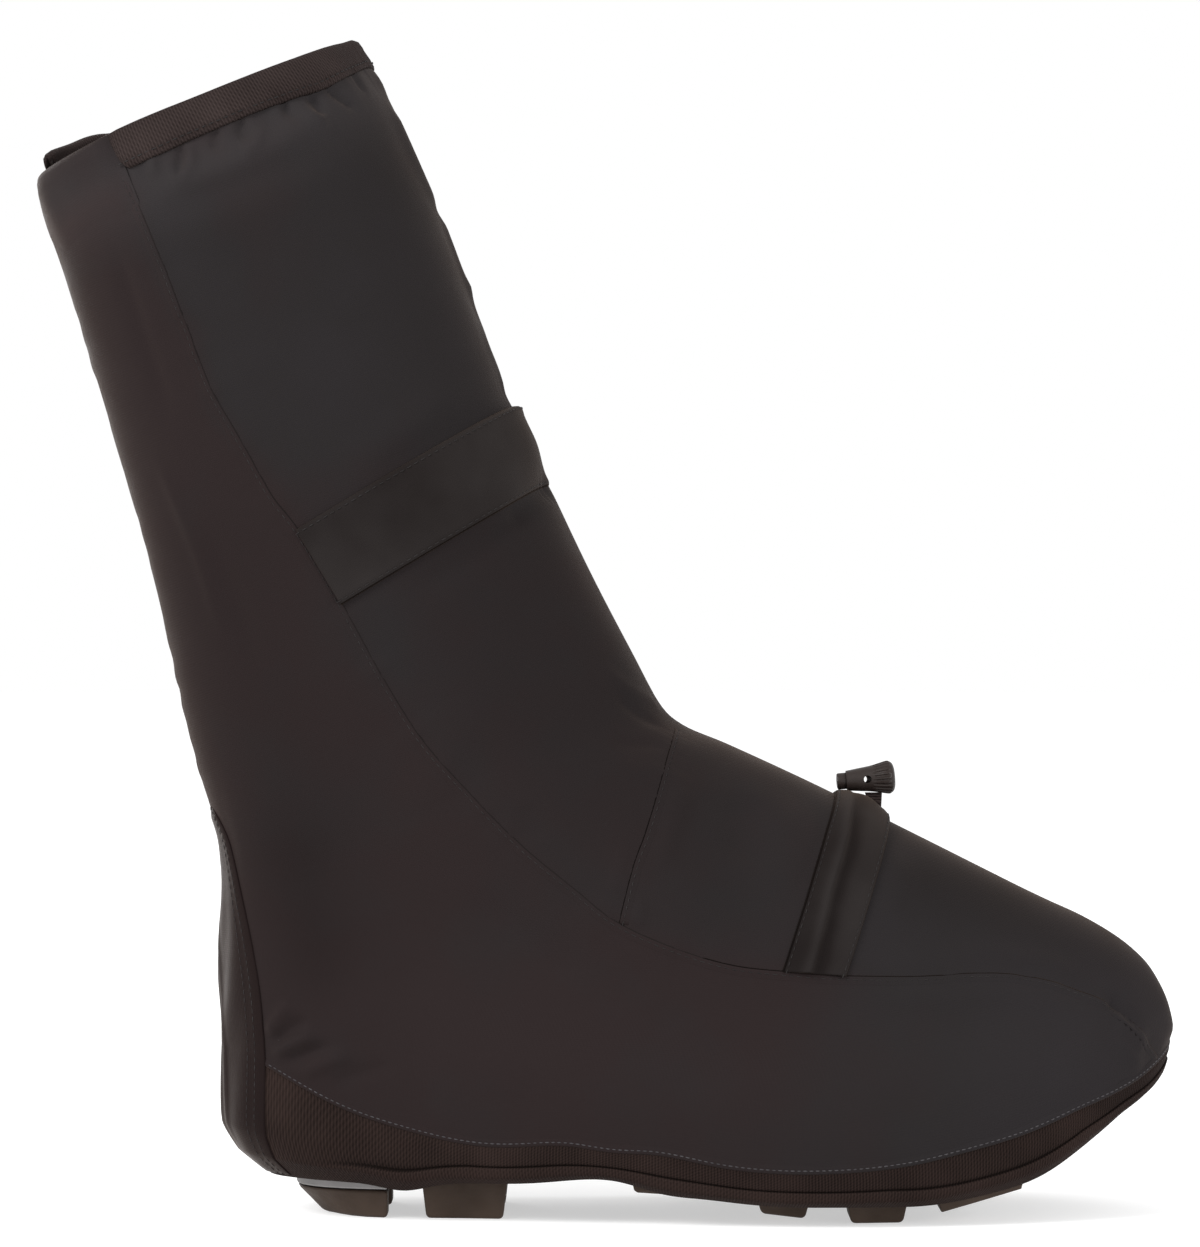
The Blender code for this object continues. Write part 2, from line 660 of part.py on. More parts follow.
def cut_cord_hole(made, height):
    """Drill the cord's hole straight across a turned solid."""
    mesh = bpy.data.meshes.new(made.name + "_drill")
    shaper = bmesh.new()
    bmesh.ops.create_cone(
        shaper, cap_ends=True, segments=DRILL_STEPS, radius1=CORD_HOLE_RADIUS, radius2=CORD_HOLE_RADIUS,
        depth=DRILL_LENGTH)
    bmesh.ops.rotate(shaper, verts=shaper.verts, matrix=quarter_turn())
    bmesh.ops.translate(shaper, verts=shaper.verts, vec=Vector((0.0, 0.0, height)))
    shaper.to_mesh(mesh)
    shaper.free()
    drill = bpy.data.objects.new(made.name + "_drill", mesh)
    bpy.context.scene.collection.objects.link(drill)
    drill.hide_render = True
    drill.display_type = "WIRE"
    cut = made.modifiers.new("cord hole", "BOOLEAN")
    cut.operation = "DIFFERENCE"
    cut.solver = "EXACT"
    cut.object = drill
    return drill


def quarter_turn():
    """A quarter turn about X, which lays a standing drill along Y."""
    return Vector((0.0, 0.0, 1.0)).rotation_difference(Vector((0.0, 1.0, 0.0))).to_matrix()


def build_lock():
    """Cord lock: a bell-shaped barrel with a bore, and a sprung button in it."""
    outside = [(radius, BARREL_START + BARREL_LENGTH * along) for along, radius in BARREL_CURVE]
    barrel = turned("cord_lock_barrel", (
        (0.0, BARREL_START + BORE_DEPTH),
        (BORE_RADIUS, BARREL_START + BORE_DEPTH),
        (BORE_RADIUS, BARREL_START),
        *outside,
        (0.0, BARREL_START + BARREL_LENGTH),
    ), "lock_plastic")
    button = turned("cord_lock_button", (
        (0.0, 0.0),
        (BUTTON_FACE_RADIUS, 0.0),
        (BUTTON_RADIUS, BUTTON_CHAMFER),
        (BUTTON_RADIUS, BUTTON_LENGTH),
        (STEM_RADIUS, BUTTON_LENGTH),
        (STEM_RADIUS, BUTTON_LENGTH + STEM_LENGTH),
        (0.0, BUTTON_LENGTH + STEM_LENGTH),
    ), "lock_plastic")
    drills = [
        cut_cord_hole(barrel, BARREL_START + CORD_HOLE_PLACE),
        cut_cord_hole(button, BARREL_START + CORD_HOLE_PLACE - BUTTON_TRAVEL * 0.5),
    ]
    for made in (barrel, button):
        made.location = LOCK_PLACE
        made.rotation_euler = (0.0, LOCK_TILT, 0.0)
    for drill, made in zip(drills, (barrel, button)):
        drill.parent = made
    return [barrel, button], drills


def build_tab():
    """The short elastic tab that stands on the channel and holds the barrel from below."""
    sections = []
    rise = math.pi / 2.0 - LOCK_TILT
    for share in np.linspace(-0.5, 0.5, TAB_STATIONS):
        x = TAB_PLACE + share * TAB_WIDTH
        level = front_level(x)
        foot = upper_at(math.pi, level, OVERLAY_GAP + GAP + CHANNEL["thickness"] + TAB_LIFT)
        axis_z = LOCK_PLACE[2] + (x - LOCK_PLACE[0]) * math.tan(rise)
        reach = (x - LOCK_PLACE[0]) / math.cos(rise) - BARREL_START
        radius = np.interp(reach / BARREL_LENGTH, *zip(*BARREL_CURVE))
        top = axis_z - radius / math.cos(rise) - GAP
        middle = LOCK_PLACE[1]
        near = middle - TAB_THICKNESS / 2.0
        far = middle + TAB_THICKNESS / 2.0
        sections.append(((x, near, foot[2]), (x, near, top), (x, far, top), (x, far, foot[2])))
    return sweep("cord_tab", sections, "elastic", False)


def front_level(x):
    """The level at which the upper's front line stands over x."""
    low = 0.0
    high = float(COLLAR)
    for _ in range(HALVINGS):
        middle = (low + high) / 2.0
        low, high = (middle, high) if section(middle)["front_x"] > x else (low, middle)
    return low


def gather(objects):
    """Parent every object to one empty, moved so that the origin is the middle of the footprint on the floor."""
    corners = []
    bpy.context.view_layer.update()
    for made in objects:
        corners += [made.matrix_world @ vertex.co for vertex in made.data.vertices]
    lows = [min(corner[i] for corner in corners) for i in range(3)]
    highs = [max(corner[i] for corner in corners) for i in range(3)]
    root = bpy.data.objects.new("overshoe", None)
    bpy.context.scene.collection.objects.link(root)
    for made in objects:
        made.parent = root
    root.location = (-(lows[0] + highs[0]) / 2.0, -(lows[1] + highs[1]) / 2.0, -lows[2])


for old in list(bpy.data.objects):
    bpy.data.objects.remove(old, do_unlink=True)

parts = [build_upper(), build_rand(), build_counter(), build_binding()]
parts.append(build_strip("ankle_strap", STRAP, "shell_fabric"))
parts.append(build_strip("instep_channel", CHANNEL, "shell_fabric"))
plate_bottom = WALL + OVERLAY_GAP
insole_bottom = plate_bottom + PLATE_THICKNESS + GAP
parts.append(sole_sheet("sole_plate", PLATE_INSET, plate_bottom, PLATE_THICKNESS, "plate_plastic"))
parts.append(sole_sheet("insole", INSOLE_INSET, insole_bottom, INSOLE_THICKNESS, "insole_foam"))
for values in LUGS:
    lug = dict(zip(LUG_COLUMNS, values))
    parts.append(build_side_lug(lug, -1, lug["name"] + "_outer"))
    parts.append(build_side_lug(lug, 1, lug["name"] + "_inner"))
parts.append(build_heel_crescent("heel_wedge", lug_top, WEDGE_BOTTOM, 0.0, 0.0, "pale_foam"))
parts.append(build_heel_crescent(
    "heel_lug_rear", lambda x: WEDGE_BOTTOM - GAP, -LUG_DROP, LUG_TAPER, REAR_LUG_BEVEL, "rubber"))
lock, drills = build_lock()
parts += lock
parts.append(build_tab())
gather(parts)
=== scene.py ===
# %% [markdown]
# # A tall overshoe for a cycling shoe
# The overshoe is a sewn fabric boot that is pulled over a shoe against rain. Its upper is a thin coated weave, its
# lower edge a ribbed elastic rand, and it stands on rubber lugs. Each cell below makes one piece or one finish.
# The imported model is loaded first, because it says where every piece sits and which body carries it.

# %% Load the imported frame
import math
from contextlib import contextmanager

import bmesh
import bpy
import numpy as np
from mathutils import Matrix, Vector


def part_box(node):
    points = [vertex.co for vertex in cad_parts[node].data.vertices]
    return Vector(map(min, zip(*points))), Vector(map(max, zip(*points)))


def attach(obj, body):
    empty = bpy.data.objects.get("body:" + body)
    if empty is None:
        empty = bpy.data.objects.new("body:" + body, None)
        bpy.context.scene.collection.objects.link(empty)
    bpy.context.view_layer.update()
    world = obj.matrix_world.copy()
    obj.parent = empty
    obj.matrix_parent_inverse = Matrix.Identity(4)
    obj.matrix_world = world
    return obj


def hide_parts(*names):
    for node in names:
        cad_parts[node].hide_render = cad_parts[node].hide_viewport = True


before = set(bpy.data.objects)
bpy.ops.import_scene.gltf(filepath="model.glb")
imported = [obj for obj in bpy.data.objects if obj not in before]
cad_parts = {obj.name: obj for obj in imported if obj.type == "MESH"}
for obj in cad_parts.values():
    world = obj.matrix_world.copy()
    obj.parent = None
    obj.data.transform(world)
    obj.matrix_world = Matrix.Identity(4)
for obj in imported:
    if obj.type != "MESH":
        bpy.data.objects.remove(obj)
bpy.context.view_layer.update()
scene = bpy.context.scene

# %% [markdown]
# ## The shell's own shape
# A shoemaker starts from a last, a solid foot form, and the upper takes its shape. Here the last is a short table:
# each row is one section from the rand seam up to the collar, with its back and front point, its widths and how
# round its ends are. Smooth curves run through the rows, so any spot can be asked for by an angle around the
# shoe and a level up it. A table keeps the form easy to read, where sculpting would leave only vertices.

# %% The last as a table of sections
LENGTH = 0.300
HEIGHT = 0.3675
BALL_WIDTH = 0.108
WALL = 0.0018
SECTION_COLUMNS = (
    "back_x", "back_z", "front_x", "front_z", "back_w", "front_w", "back_cap", "front_cap", "sag", "swing",
)
SECTIONS = np.array((
    (0.0030, 0.1400, 0.9980, 0.1400, 0.713, 1.000, 0.135, 0.34, 1.00, 1.0),
    (0.0020, 0.1550, 0.9980, 0.1610, 0.722, 1.010, 0.135, 0.35, 0.86, 1.0),
    (0.0010, 0.1690, 0.9885, 0.1890, 0.731, 1.010, 0.140, 0.37, 0.72, 1.0),
    (0.0005, 0.1820, 0.9650, 0.2150, 0.731, 1.000, 0.145, 0.41, 0.58, 1.0),
    (0.0000, 0.1990, 0.9200, 0.2410, 0.731, 0.990, 0.150, 0.46, 0.44, 1.0),
    (0.0000, 0.2180, 0.8330, 0.2765, 0.731, 0.980, 0.165, 0.53, 0.30, 0.9),
    (0.0000, 0.2370, 0.7330, 0.3175, 0.731, 0.955, 0.190, 0.58, 0.18, 0.8),
    (0.0000, 0.2570, 0.6270, 0.3605, 0.740, 0.925, 0.220, 0.60, 0.09, 0.6),
    (0.0000, 0.2760, 0.5370, 0.3945, 0.750, 0.900, 0.260, 0.60, 0.03, 0.4),
    (-0.0010, 0.2940, 0.4870, 0.4120, 0.760, 0.870, 0.290, 0.58, 0.00, 0.3),
    (-0.0040, 0.3155, 0.4600, 0.4320, 0.770, 0.850, 0.330, 0.56, 0.00, 0.2),
    (-0.0150, 0.3540, 0.4330, 0.4720, 0.787, 0.850, 0.380, 0.53, 0.00, 0.1),
    (-0.0380, 0.4300, 0.3830, 0.5510, 0.824, 0.870, 0.450, 0.50, 0.00, 0.0),
    (-0.0720, 0.5500, 0.3280, 0.6480, 0.870, 0.900, 0.500, 0.50, 0.00, 0.0),
    (-0.1080, 0.6530, 0.2780, 0.7455, 0.907, 0.926, 0.500, 0.50, 0.00, 0.0),
    (-0.1500, 0.7670, 0.2280, 0.8530, 0.926, 0.944, 0.500, 0.50, 0.00, 0.0),
    (-0.1800, 0.8410, 0.1830, 0.9400, 0.926, 0.944, 0.500, 0.50, 0.00, 0.0),
    (-0.1900, 0.8770, 0.1430, 0.9880, 0.885, 0.900, 0.500, 0.50, 0.00, 0.0),
))
SECTION_UNITS = np.array((LENGTH, HEIGHT, LENGTH, HEIGHT, BALL_WIDTH / 2, BALL_WIDTH / 2, 1, 1, 1, 1))
COLLAR = len(SECTIONS) - 1
BACK_POWER = 2.2
FRONT_POWER = 2.35


def smooth(share):
    """A soft step from 0 to 1."""
    share = np.clip(share, 0.0, 1.0)
    return share * share * (3.0 - 2.0 * share)


def hump(share):
    """A soft hill: 1 at 0, and nearly nothing from 2 on."""
    return np.exp(-np.square(share))


def through(rows, at):
    """Smooth curves through the rows of a table, read at row numbers that need not be whole."""
    at = np.clip(np.asarray(at, dtype=float), 0.0, len(rows) - 1)
    low = np.minimum(at.astype(int), len(rows) - 2)
    part = (at - low)[..., None]
    start, end = rows[low], rows[low + 1]
    leave = (end - rows[np.maximum(low - 1, 0)]) / 2.0
    arrive = (rows[np.minimum(low + 2, len(rows) - 1)] - start) / 2.0
    mixed = (2 * part**3 - 3 * part**2 + 1) * start + (part**3 - 2 * part**2 + part) * leave
    return mixed + (3 * part**2 - 2 * part**3) * end + (part**3 - part**2) * arrive


def section(level):
    """The section's columns at a level."""
    mixed = through(SECTIONS, level) * SECTION_UNITS
    return {name: mixed[..., i] for i, name in enumerate(SECTION_COLUMNS)}


print("sections from rand seam to collar:", len(SECTIONS))

# %% [markdown]
# The foot's lower edge isn't flat. It rises under the arch and at the toe, and the rand seam stands highest round
# the heel. The last also swings: the toe turns in and the waist turns out, which makes this a right shoe.

# %% Sole line, rand seam and the swing of the last
HEEL_CLEARANCE = 0.0105
BALL_CLEARANCE = 0.0045
HEEL_END, HEEL_TO_BALL = 0.25, 0.37
ARCH_RISE, ARCH_PLACE, ARCH_SPREAD = 0.0060, 0.41, 0.085
TOE_SPRING, SPRING_START = 0.0420, 0.710
RAND_HEIGHT, RAND_TOE_HEIGHT, RAND_TOE_START = 0.012, 0.006, 0.88
RAND_HEEL_RISE, RAND_HEEL_REACH = 0.030, 0.042
# Place, reach and rise.
SEAM_WAVES = (
    (0.0580, 0.0220, 0.0026), (0.1235, 0.0135, -0.0032), (0.2340, 0.0260, 0.0044), (0.2620, 0.0160, 0.0012),
)
TOE_SWING, TOE_SWING_START = 0.0075, 0.55
WAIST_SWING, WAIST_PLACE, WAIST_SPREAD = 0.0035, 0.42, 0.16
WIDEN_START, WIDEN_REACH = 0.20, 0.50


def sole_line(x):
    """Height of the rand's lower edge."""
    share = x / LENGTH
    level = HEEL_CLEARANCE + (BALL_CLEARANCE - HEEL_CLEARANCE) * smooth((share - HEEL_END) / HEEL_TO_BALL)
    arch = ARCH_RISE * hump((share - ARCH_PLACE) / ARCH_SPREAD)
    return level + arch + TOE_SPRING * np.clip((share - SPRING_START) / (1.0 - SPRING_START), 0.0, None) ** 2


def seam_line(x):
    """Height of the seam between shell and rand."""
    at_toe = smooth((x / LENGTH - RAND_TOE_START) / (1.0 - RAND_TOE_START))
    height = RAND_HEIGHT + (RAND_TOE_HEIGHT - RAND_HEIGHT) * at_toe
    height = height + RAND_HEEL_RISE * hump(x / RAND_HEEL_REACH)
    for place, reach, rise in SEAM_WAVES:
        height = height + rise * hump((x - place) / reach)
    return sole_line(x) + height


def last_swing(x):
    """Sideways curve of the last's middle line."""
    share = x / LENGTH
    toe_in = TOE_SWING * smooth((share - TOE_SWING_START) / (1.0 - TOE_SWING_START))
    return toe_in - WAIST_SWING * hump((share - WAIST_PLACE) / WAIST_SPREAD)


def round_end(distance, reach, power):
    """0 at a section's end and 1 from the reach inwards."""
    rest = np.clip(1.0 - distance / reach, 0.0, 1.0)
    return np.clip(1.0 - rest**power, 0.0, 1.0) ** (1.0 / power)


def half_width(along, row):
    """Half width of a section, a share of the way from its back to its front."""
    width = row["back_w"] + (row["front_w"] - row["back_w"]) * smooth((along - WIDEN_START) / WIDEN_REACH)
    return width * round_end(along, row["back_cap"], BACK_POWER) * round_end(1.0 - along, row["front_cap"], FRONT_POWER)


def side_height(along, row):
    """Height of a section's side line: a straight line that hangs with the rand seam."""
    base = section(0.0)
    x = base["back_x"] + (base["front_x"] - base["back_x"]) * along
    hang = seam_line(x) - seam_line(base["back_x"]) * (1.0 - along) - seam_line(base["front_x"]) * along
    return row["back_z"] + (row["front_z"] - row["back_z"]) * along + row["sag"] * hang


PROBES = np.array((0.05, 0.41, 0.65, 0.95)) * LENGTH
print("sole line at heel, arch, ball, toe (mm):", np.round(sole_line(PROBES) * 1000, 1))

# %% Spots on the shell
ANGLE_STEP = 0.02
LEVEL_STEP = 0.05
EDGE_STEP = 0.2
HALVINGS = 40
PAST_ENDS = (-0.2, 1.2)
TURN = 2.0 * math.pi


def shell_point(angle, level):
    """A spot on the shell: angle 0 is the back, half a turn the front, by way of the outer side."""
    angle, level = np.broadcast_arrays(np.asarray(angle, dtype=float), np.asarray(level, dtype=float))
    row = section(level)
    along = (1.0 - np.cos(angle)) / 2.0
    x = row["back_x"] + (row["front_x"] - row["back_x"]) * along
    y = row["swing"] * last_swing(x) - np.sign(np.sin(angle)) * half_width(along, row)
    spot = np.stack((x, y, side_height(along, row)), axis=-1)
    above = np.maximum(level - COLLAR, 0.0)[..., None]
    if not np.any(above):
        return spot
    edge = shell_point(angle, float(COLLAR)) - shell_point(angle, COLLAR - EDGE_STEP)
    return spot + above * edge / EDGE_STEP


def shell_normal(angle, level):
    """Outward direction of the shell."""
    angle, level = np.broadcast_arrays(np.asarray(angle, dtype=float), np.asarray(level, dtype=float))
    around = shell_point(angle + ANGLE_STEP, level) - shell_point(angle - ANGLE_STEP, level)
    up = shell_point(angle, level + LEVEL_STEP) - shell_point(angle, np.maximum(level - LEVEL_STEP, 0.0))
    normal = np.cross(around, up)
    return normal / np.linalg.norm(normal, axis=-1, keepdims=True)


def find_on_side(x, z):
    """The angle and level of the outer side's spot that shows at x, z in the side view."""
    low, high = np.zeros_like(x), np.full_like(x, float(COLLAR))
    for _ in range(HALVINGS):
        middle = (low + high) / 2.0
        row = section(middle)
        along = np.clip((x - row["back_x"]) / (row["front_x"] - row["back_x"]), *PAST_ENDS)
        below = side_height(along, row) < z
        low, high = np.where(below, middle, low), np.where(below, high, middle)
    row = section(low)
    along = (x - row["back_x"]) / (row["front_x"] - row["back_x"])
    return np.arccos(np.clip(1.0 - 2.0 * along, -1.0, 1.0)), low


def slide(angle, level, move):
    """The angle and level that lie a small move away on the shell."""
    around = (shell_point(angle + ANGLE_STEP, level) - shell_point(angle - ANGLE_STEP, level)) / (2.0 * ANGLE_STEP)
    up = (shell_point(angle, level + LEVEL_STEP) - shell_point(angle, level - LEVEL_STEP)) / (2.0 * LEVEL_STEP)
    aa, au, uu = (np.sum(p * q, axis=-1) for p, q in ((around, around), (around, up), (up, up)))
    ma, mu = np.sum(move * around, axis=-1), np.sum(move * up, axis=-1)
    spread = aa * uu - au * au
    return angle + (ma * uu - mu * au) / spread, level + (mu * aa - ma * au) / spread


print("toe tip (mm):", np.round(shell_point(math.pi, 0.5) * 1000, 1))

# %% [markdown]
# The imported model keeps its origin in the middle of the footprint, and the table above measures from the back of the
# heel. The collar's back and front corners and the lock's middle are in both, so their difference is the shift from
# one to the other. Every mesh below is made in the shoe's own measures and shifted once.

# %% From the shoe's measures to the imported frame
LOCK_PLACE = np.array((0.1946, 0.0040, 0.1334))
upper_low, upper_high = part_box("upper")
lock_low, lock_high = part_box("cord_lock_barrel")
SHIFT = np.array((
    upper_low.x - SECTIONS[-1][0] * LENGTH,
    (lock_low.y + lock_high.y) / 2.0 - LOCK_PLACE[1],
    upper_high.z - SECTIONS[-1][3] * HEIGHT,
))
print("shift (mm):", np.round(SHIFT * 1000, 2))


# %% Helpers that make meshes
def grid_faces(rows, columns, close_rows=False, close_columns=False):
    """Quads over a grid of points, with each corner's row and column, counted on past a closed edge."""
    i, j = np.meshgrid(np.arange(rows - (not close_rows)), np.arange(columns - (not close_columns)), indexing="ij")
    row = np.stack((i, i, i + 1, i + 1), axis=-1).reshape(-1, 4)
    column = np.stack((j, j + 1, j + 1, j), axis=-1).reshape(-1, 4)
    return (row % rows) * columns + column % columns, row, column


def lengths_along(points, closed, axis):
    """Run of the grid's lines along one axis, averaged over the other, starting at 0."""
    points = np.moveaxis(points, axis, 0)
    steps = np.diff(np.concatenate((points, points[:1])) if closed else points, axis=0)
    return np.concatenate(([0.0], np.cumsum(np.linalg.norm(steps, axis=-1).mean(axis=1))))


def new_object(name, data):
    """An object in the scene with the given data."""
    made = bpy.data.objects.new(name, data)
    scene.collection.objects.link(made)
    return made


@contextmanager
def shaping(mesh):
    """A mesh's points and faces to work on, written back to it at the end."""
    shaper = bmesh.new()
    shaper.from_mesh(mesh)
    yield shaper
    shaper.to_mesh(mesh)
    shaper.free()


def plain_mesh(piece):
    """A piece's mesh with its modifiers worked in."""
    return bpy.data.meshes.new_from_object(piece.evaluated_get(bpy.context.evaluated_depsgraph_get()))


def add_piece(name, points, faces, finish, uv=None, values=None, outward=True):
    """A smooth-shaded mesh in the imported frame, with a UV map in metres and named values on its points."""
    mesh = bpy.data.meshes.new(name)
    mesh.from_pydata((np.asarray(points).reshape(-1, 3) + SHIFT).tolist(), [], [tuple(face) for face in faces])
    if uv is not None:
        layer = mesh.uv_layers.new(name="cloth")
        layer.data.foreach_set("uv", np.asarray(uv, dtype=np.float32).ravel())
    for key, numbers in (values or {}).items():
        attribute = mesh.attributes.new(key, "FLOAT", "POINT")
        attribute.data.foreach_set("value", np.asarray(numbers, dtype=np.float32).ravel())
    if outward:
        with shaping(mesh) as shaper:
            bmesh.ops.recalc_face_normals(shaper, faces=shaper.faces)
    mesh.shade_smooth()
    mesh.materials.append(finish)
    return new_object(name, mesh)


def loft(name, sections, finish, closed_path=False, values=None):
    """A closed body from a row of closed sections. Its UV runs along the path and around the section."""
    sections = np.asarray(sections)
    rows, columns = sections.shape[:2]
    faces, row, column = grid_faces(rows, columns, closed_path, True)
    run = lengths_along(sections, closed_path, 0)
    girth = lengths_along(sections, True, 1)
    uv = np.stack((run[row], girth[column]), axis=-1).reshape(-1, 2)
    faces = faces.tolist()
    for end in () if closed_path else (0, rows - 1):
        faces.append(list(range(end * columns, (end + 1) * columns)))
        uv = np.concatenate((uv, np.stack((np.full(columns, run[end]), girth[:columns]), axis=-1)))
    return add_piece(name, sections, faces, finish, uv, values)


# %% [markdown]
# ## Finishes
# The shell is a dark coated weave that looks almost even from a step away. Close up it has fine threads, a little
# colour drift, and a warm sheen at glancing angles. All of that comes from nodes: two crossed waves on the UV map give
# the weave, noise on Object coordinates gives the drift, and the sheen and a weak gloss sit on the shader. The UV map
# is in metres, so a thread has its true size wherever the cloth turns.

# %% Helpers for node finishes
THREAD_WAVE = TURN / 20.0
NOISE_LOW, NOISE_HIGH = 0.3, 0.7


def new_finish(name, **sockets):
    """A material with its shader's plain values set, and its node tree."""
    finish = bpy.data.materials.new(name)
    finish.use_nodes = True
    shader = finish.node_tree.nodes["Principled BSDF"]
    for key, value in sockets.items():
        shader.inputs[key.replace("_", " ")].default_value = value
    return finish, finish.node_tree, shader


def node(tree, kind, inputs=None, **settings):
    """One node with its settings, and its inputs as values or links."""
    made = tree.nodes.new(kind)
    for key, value in settings.items():
        setattr(made, key, value)
    for key, value in (inputs or {}).items():
        if isinstance(value, bpy.types.NodeSocket):
            tree.links.new(value, made.inputs[key])
        else:
            made.inputs[key].default_value = value
    return made


def drift(tree, scale, low, high, detail=2.0):
    """Soft noise on Object coordinates, brought to a range."""
    place = node(tree, "ShaderNodeTexCoord").outputs["Object"]
    noise = node(tree, "ShaderNodeTexNoise", {"Vector": place, "Scale": scale, "Detail": detail})
    return node(tree, "ShaderNodeMapRange", {
        "Value": noise.outputs["Fac"], "From Min": NOISE_LOW, "From Max": NOISE_HIGH, "To Min": low, "To Max": high,
    }).outputs["Result"]


def stripes(tree, direction, pitch, distortion=0.0):
    """Threads or ribs across one direction of the UV map, a pitch in metres apart."""
    place = node(tree, "ShaderNodeUVMap", uv_map="cloth").outputs["UV"]
    return node(
        tree, "ShaderNodeTexWave", {"Vector": place, "Scale": THREAD_WAVE / pitch, "Distortion": distortion},
        wave_type="BANDS", bands_direction=direction).outputs["Fac"]


def math_node(tree, operation, first, second):
    """A sum, product or other operation of two values."""
    return node(tree, "ShaderNodeMath", {0: first, 1: second}, operation=operation).outputs["Value"]


def blend_colours(tree, share, first, second):
    """A colour between two, by a share."""
    first, second = (tone if isinstance(tone, bpy.types.NodeSocket) else (*tone, 1.0) for tone in (first, second))
    return node(tree, "ShaderNodeMix", {"Factor": share, 6: first, 7: second}, data_type="RGBA").outputs[2]


def add_bump(tree, shader, height, distance, strength=1.0):
    """Surface relief of a height in metres."""
    bump = node(tree, "ShaderNodeBump", {"Height": height, "Distance": distance, "Strength": strength})
    tree.links.new(bump.outputs["Normal"], shader.inputs["Normal"])


# %% The coated weave of the shell
WEAVE_PITCH = 0.0007
REAR_TONE = (0.0154, 0.0113, 0.0114)
FRONT_TONE = (0.0143, 0.0128, 0.0132)
TOE_TONE = (0.0160, 0.0143, 0.0154)
CLOTH_SHINE = {
    "Sheen_Weight": 0.05, "Sheen_Roughness": 0.45, "Sheen_Tint": (1.0, 0.72, 0.55, 1.0),
    "Specular_Tint": (1.0, 0.84, 0.82, 1.0),
}
CLOUD_SCALE, CLOUD_SPREAD, CLOUD_DETAIL = 21.0, 0.45, 3.0
ROUGH_SCALE, ROUGH_SPREAD = 60.0, 0.07
GRAIN_SCALE, GRAIN_SHARE, THREAD_HEIGHT = 900.0, 0.9, 0.00002
# Name, first tone, second tone, the attribute that mixes them, roughness, specular level, third tone.
WOVEN = (
    ("shell_weave", REAR_TONE, FRONT_TONE, "panel", 0.55, 0.008, TOE_TONE),
    ("strap_weave", (0.0093, 0.0076, 0.0074), (0.0207, 0.0182, 0.0178), "tone_and_painted_light", 0.58, 0.008, None),
    ("heel_panel_coat", (0.0080, 0.0053, 0.0053), (0.0102, 0.0068, 0.0067), None, 0.36, 0.015, None),
    # The lining's tones are raised to make up for the shade inside the collar: painted light.
    ("lining_weave", (0.026, 0.022, 0.021), (0.034, 0.030, 0.029), None, 0.75, 0.008, None),
    # The last two rows are painted shade: dark finishes for the edge faces of laps, strap and channel, in place of
    # their thin shadow lines.
    ("painted_edge_shadow", (0.0028, 0.0022, 0.0022), (0.0044, 0.0035, 0.0035), None, 0.80, 0.008, None),
    ("painted_seam_shade", (0.0092, 0.0075, 0.0075), (0.0118, 0.0098, 0.0098), None, 0.80, 0.008, None),
)


def make_weave(name, first, second, share, roughness, specular, third):
    """Coated cloth between two or three tones. The share is an attribute's name, or None for drift alone."""
    finish, tree, shader = new_finish(name, Specular_IOR_Level=specular, **CLOTH_SHINE)
    panel = node(tree, "ShaderNodeAttribute", attribute_name=share).outputs["Fac"] if share else 0.5
    cloud = math_node(tree, "ADD", panel, drift(tree, CLOUD_SCALE, -CLOUD_SPREAD, CLOUD_SPREAD, CLOUD_DETAIL))
    tone = blend_colours(tree, cloud, first, second)
    if third:
        tone = blend_colours(tree, math_node(tree, "SUBTRACT", cloud, 1.0), tone, third)
    # This value scales the coat's tone: painted light and shade from soft zones on the side view.
    painted_light_and_shade = node(tree, "ShaderNodeAttribute", attribute_name="painted_light_and_shade").outputs["Fac"]
    gain = math_node(tree, "ADD", painted_light_and_shade, 1.0)
    toned = node(tree, "ShaderNodeVectorMath", {0: tone, "Scale": gain}, operation="SCALE")
    tree.links.new(toned.outputs["Vector"], shader.inputs["Base Color"])
    rough = drift(tree, ROUGH_SCALE, roughness - ROUGH_SPREAD, roughness + ROUGH_SPREAD)
    tree.links.new(rough, shader.inputs["Roughness"])
    threads = math_node(tree, "ADD", stripes(tree, "X", WEAVE_PITCH), stripes(tree, "Y", WEAVE_PITCH))
    grain = drift(tree, GRAIN_SCALE, 0.0, GRAIN_SHARE)
    add_bump(tree, shader, math_node(tree, "ADD", threads, grain), THREAD_HEIGHT)
    return finish


shell_weave, strap_weave, panel_coat, lining_weave, painted_edge_shadow, painted_seam_shade = (make_weave(*row) for row in WOVEN)
print("weave pitch (mm):", WEAVE_PITCH * 1000)

# %% [markdown]
# The rand, the collar binding and the lock's tab are grosgrain: elastic tape with fine ribs across its length. The
# ribs are too fine to model, so a wave along the UV map makes them, and a second, slanted one breaks them like yarn.
# The colour follows the same relief, darker between the ribs, as painted shade.

# %% Ribbed elastic, rubber and the small trim
RIB_PITCH, RIB_HEIGHT, RIB_BEND, RIB_TONE = 0.00095, 0.00016, 0.6, 0.55
YARN_PITCH, YARN_SHARE, YARN_BEND = 0.9 * RIB_PITCH, 0.45, 1.0
TAPE_CLOUD_SCALE, TAPE_CLOUD_LOW, TAPE_CLOUD_HIGH = 45.0, -0.15, 0.25
WEAR_SCALE, WEAR_DETAIL = 70.0, 5.0
GLOSS_SCALE, GLOSS_SPREAD, GRAIN_DETAIL = 160.0, 0.1, 3.0
TAPE_SHINE = {
    "Sheen_Weight": 0.01, "Sheen_Roughness": 0.5, "Sheen_Tint": (0.8, 0.68, 0.64, 1.0),
    "Specular_IOR_Level": 0.05, "Roughness": 0.82,
}
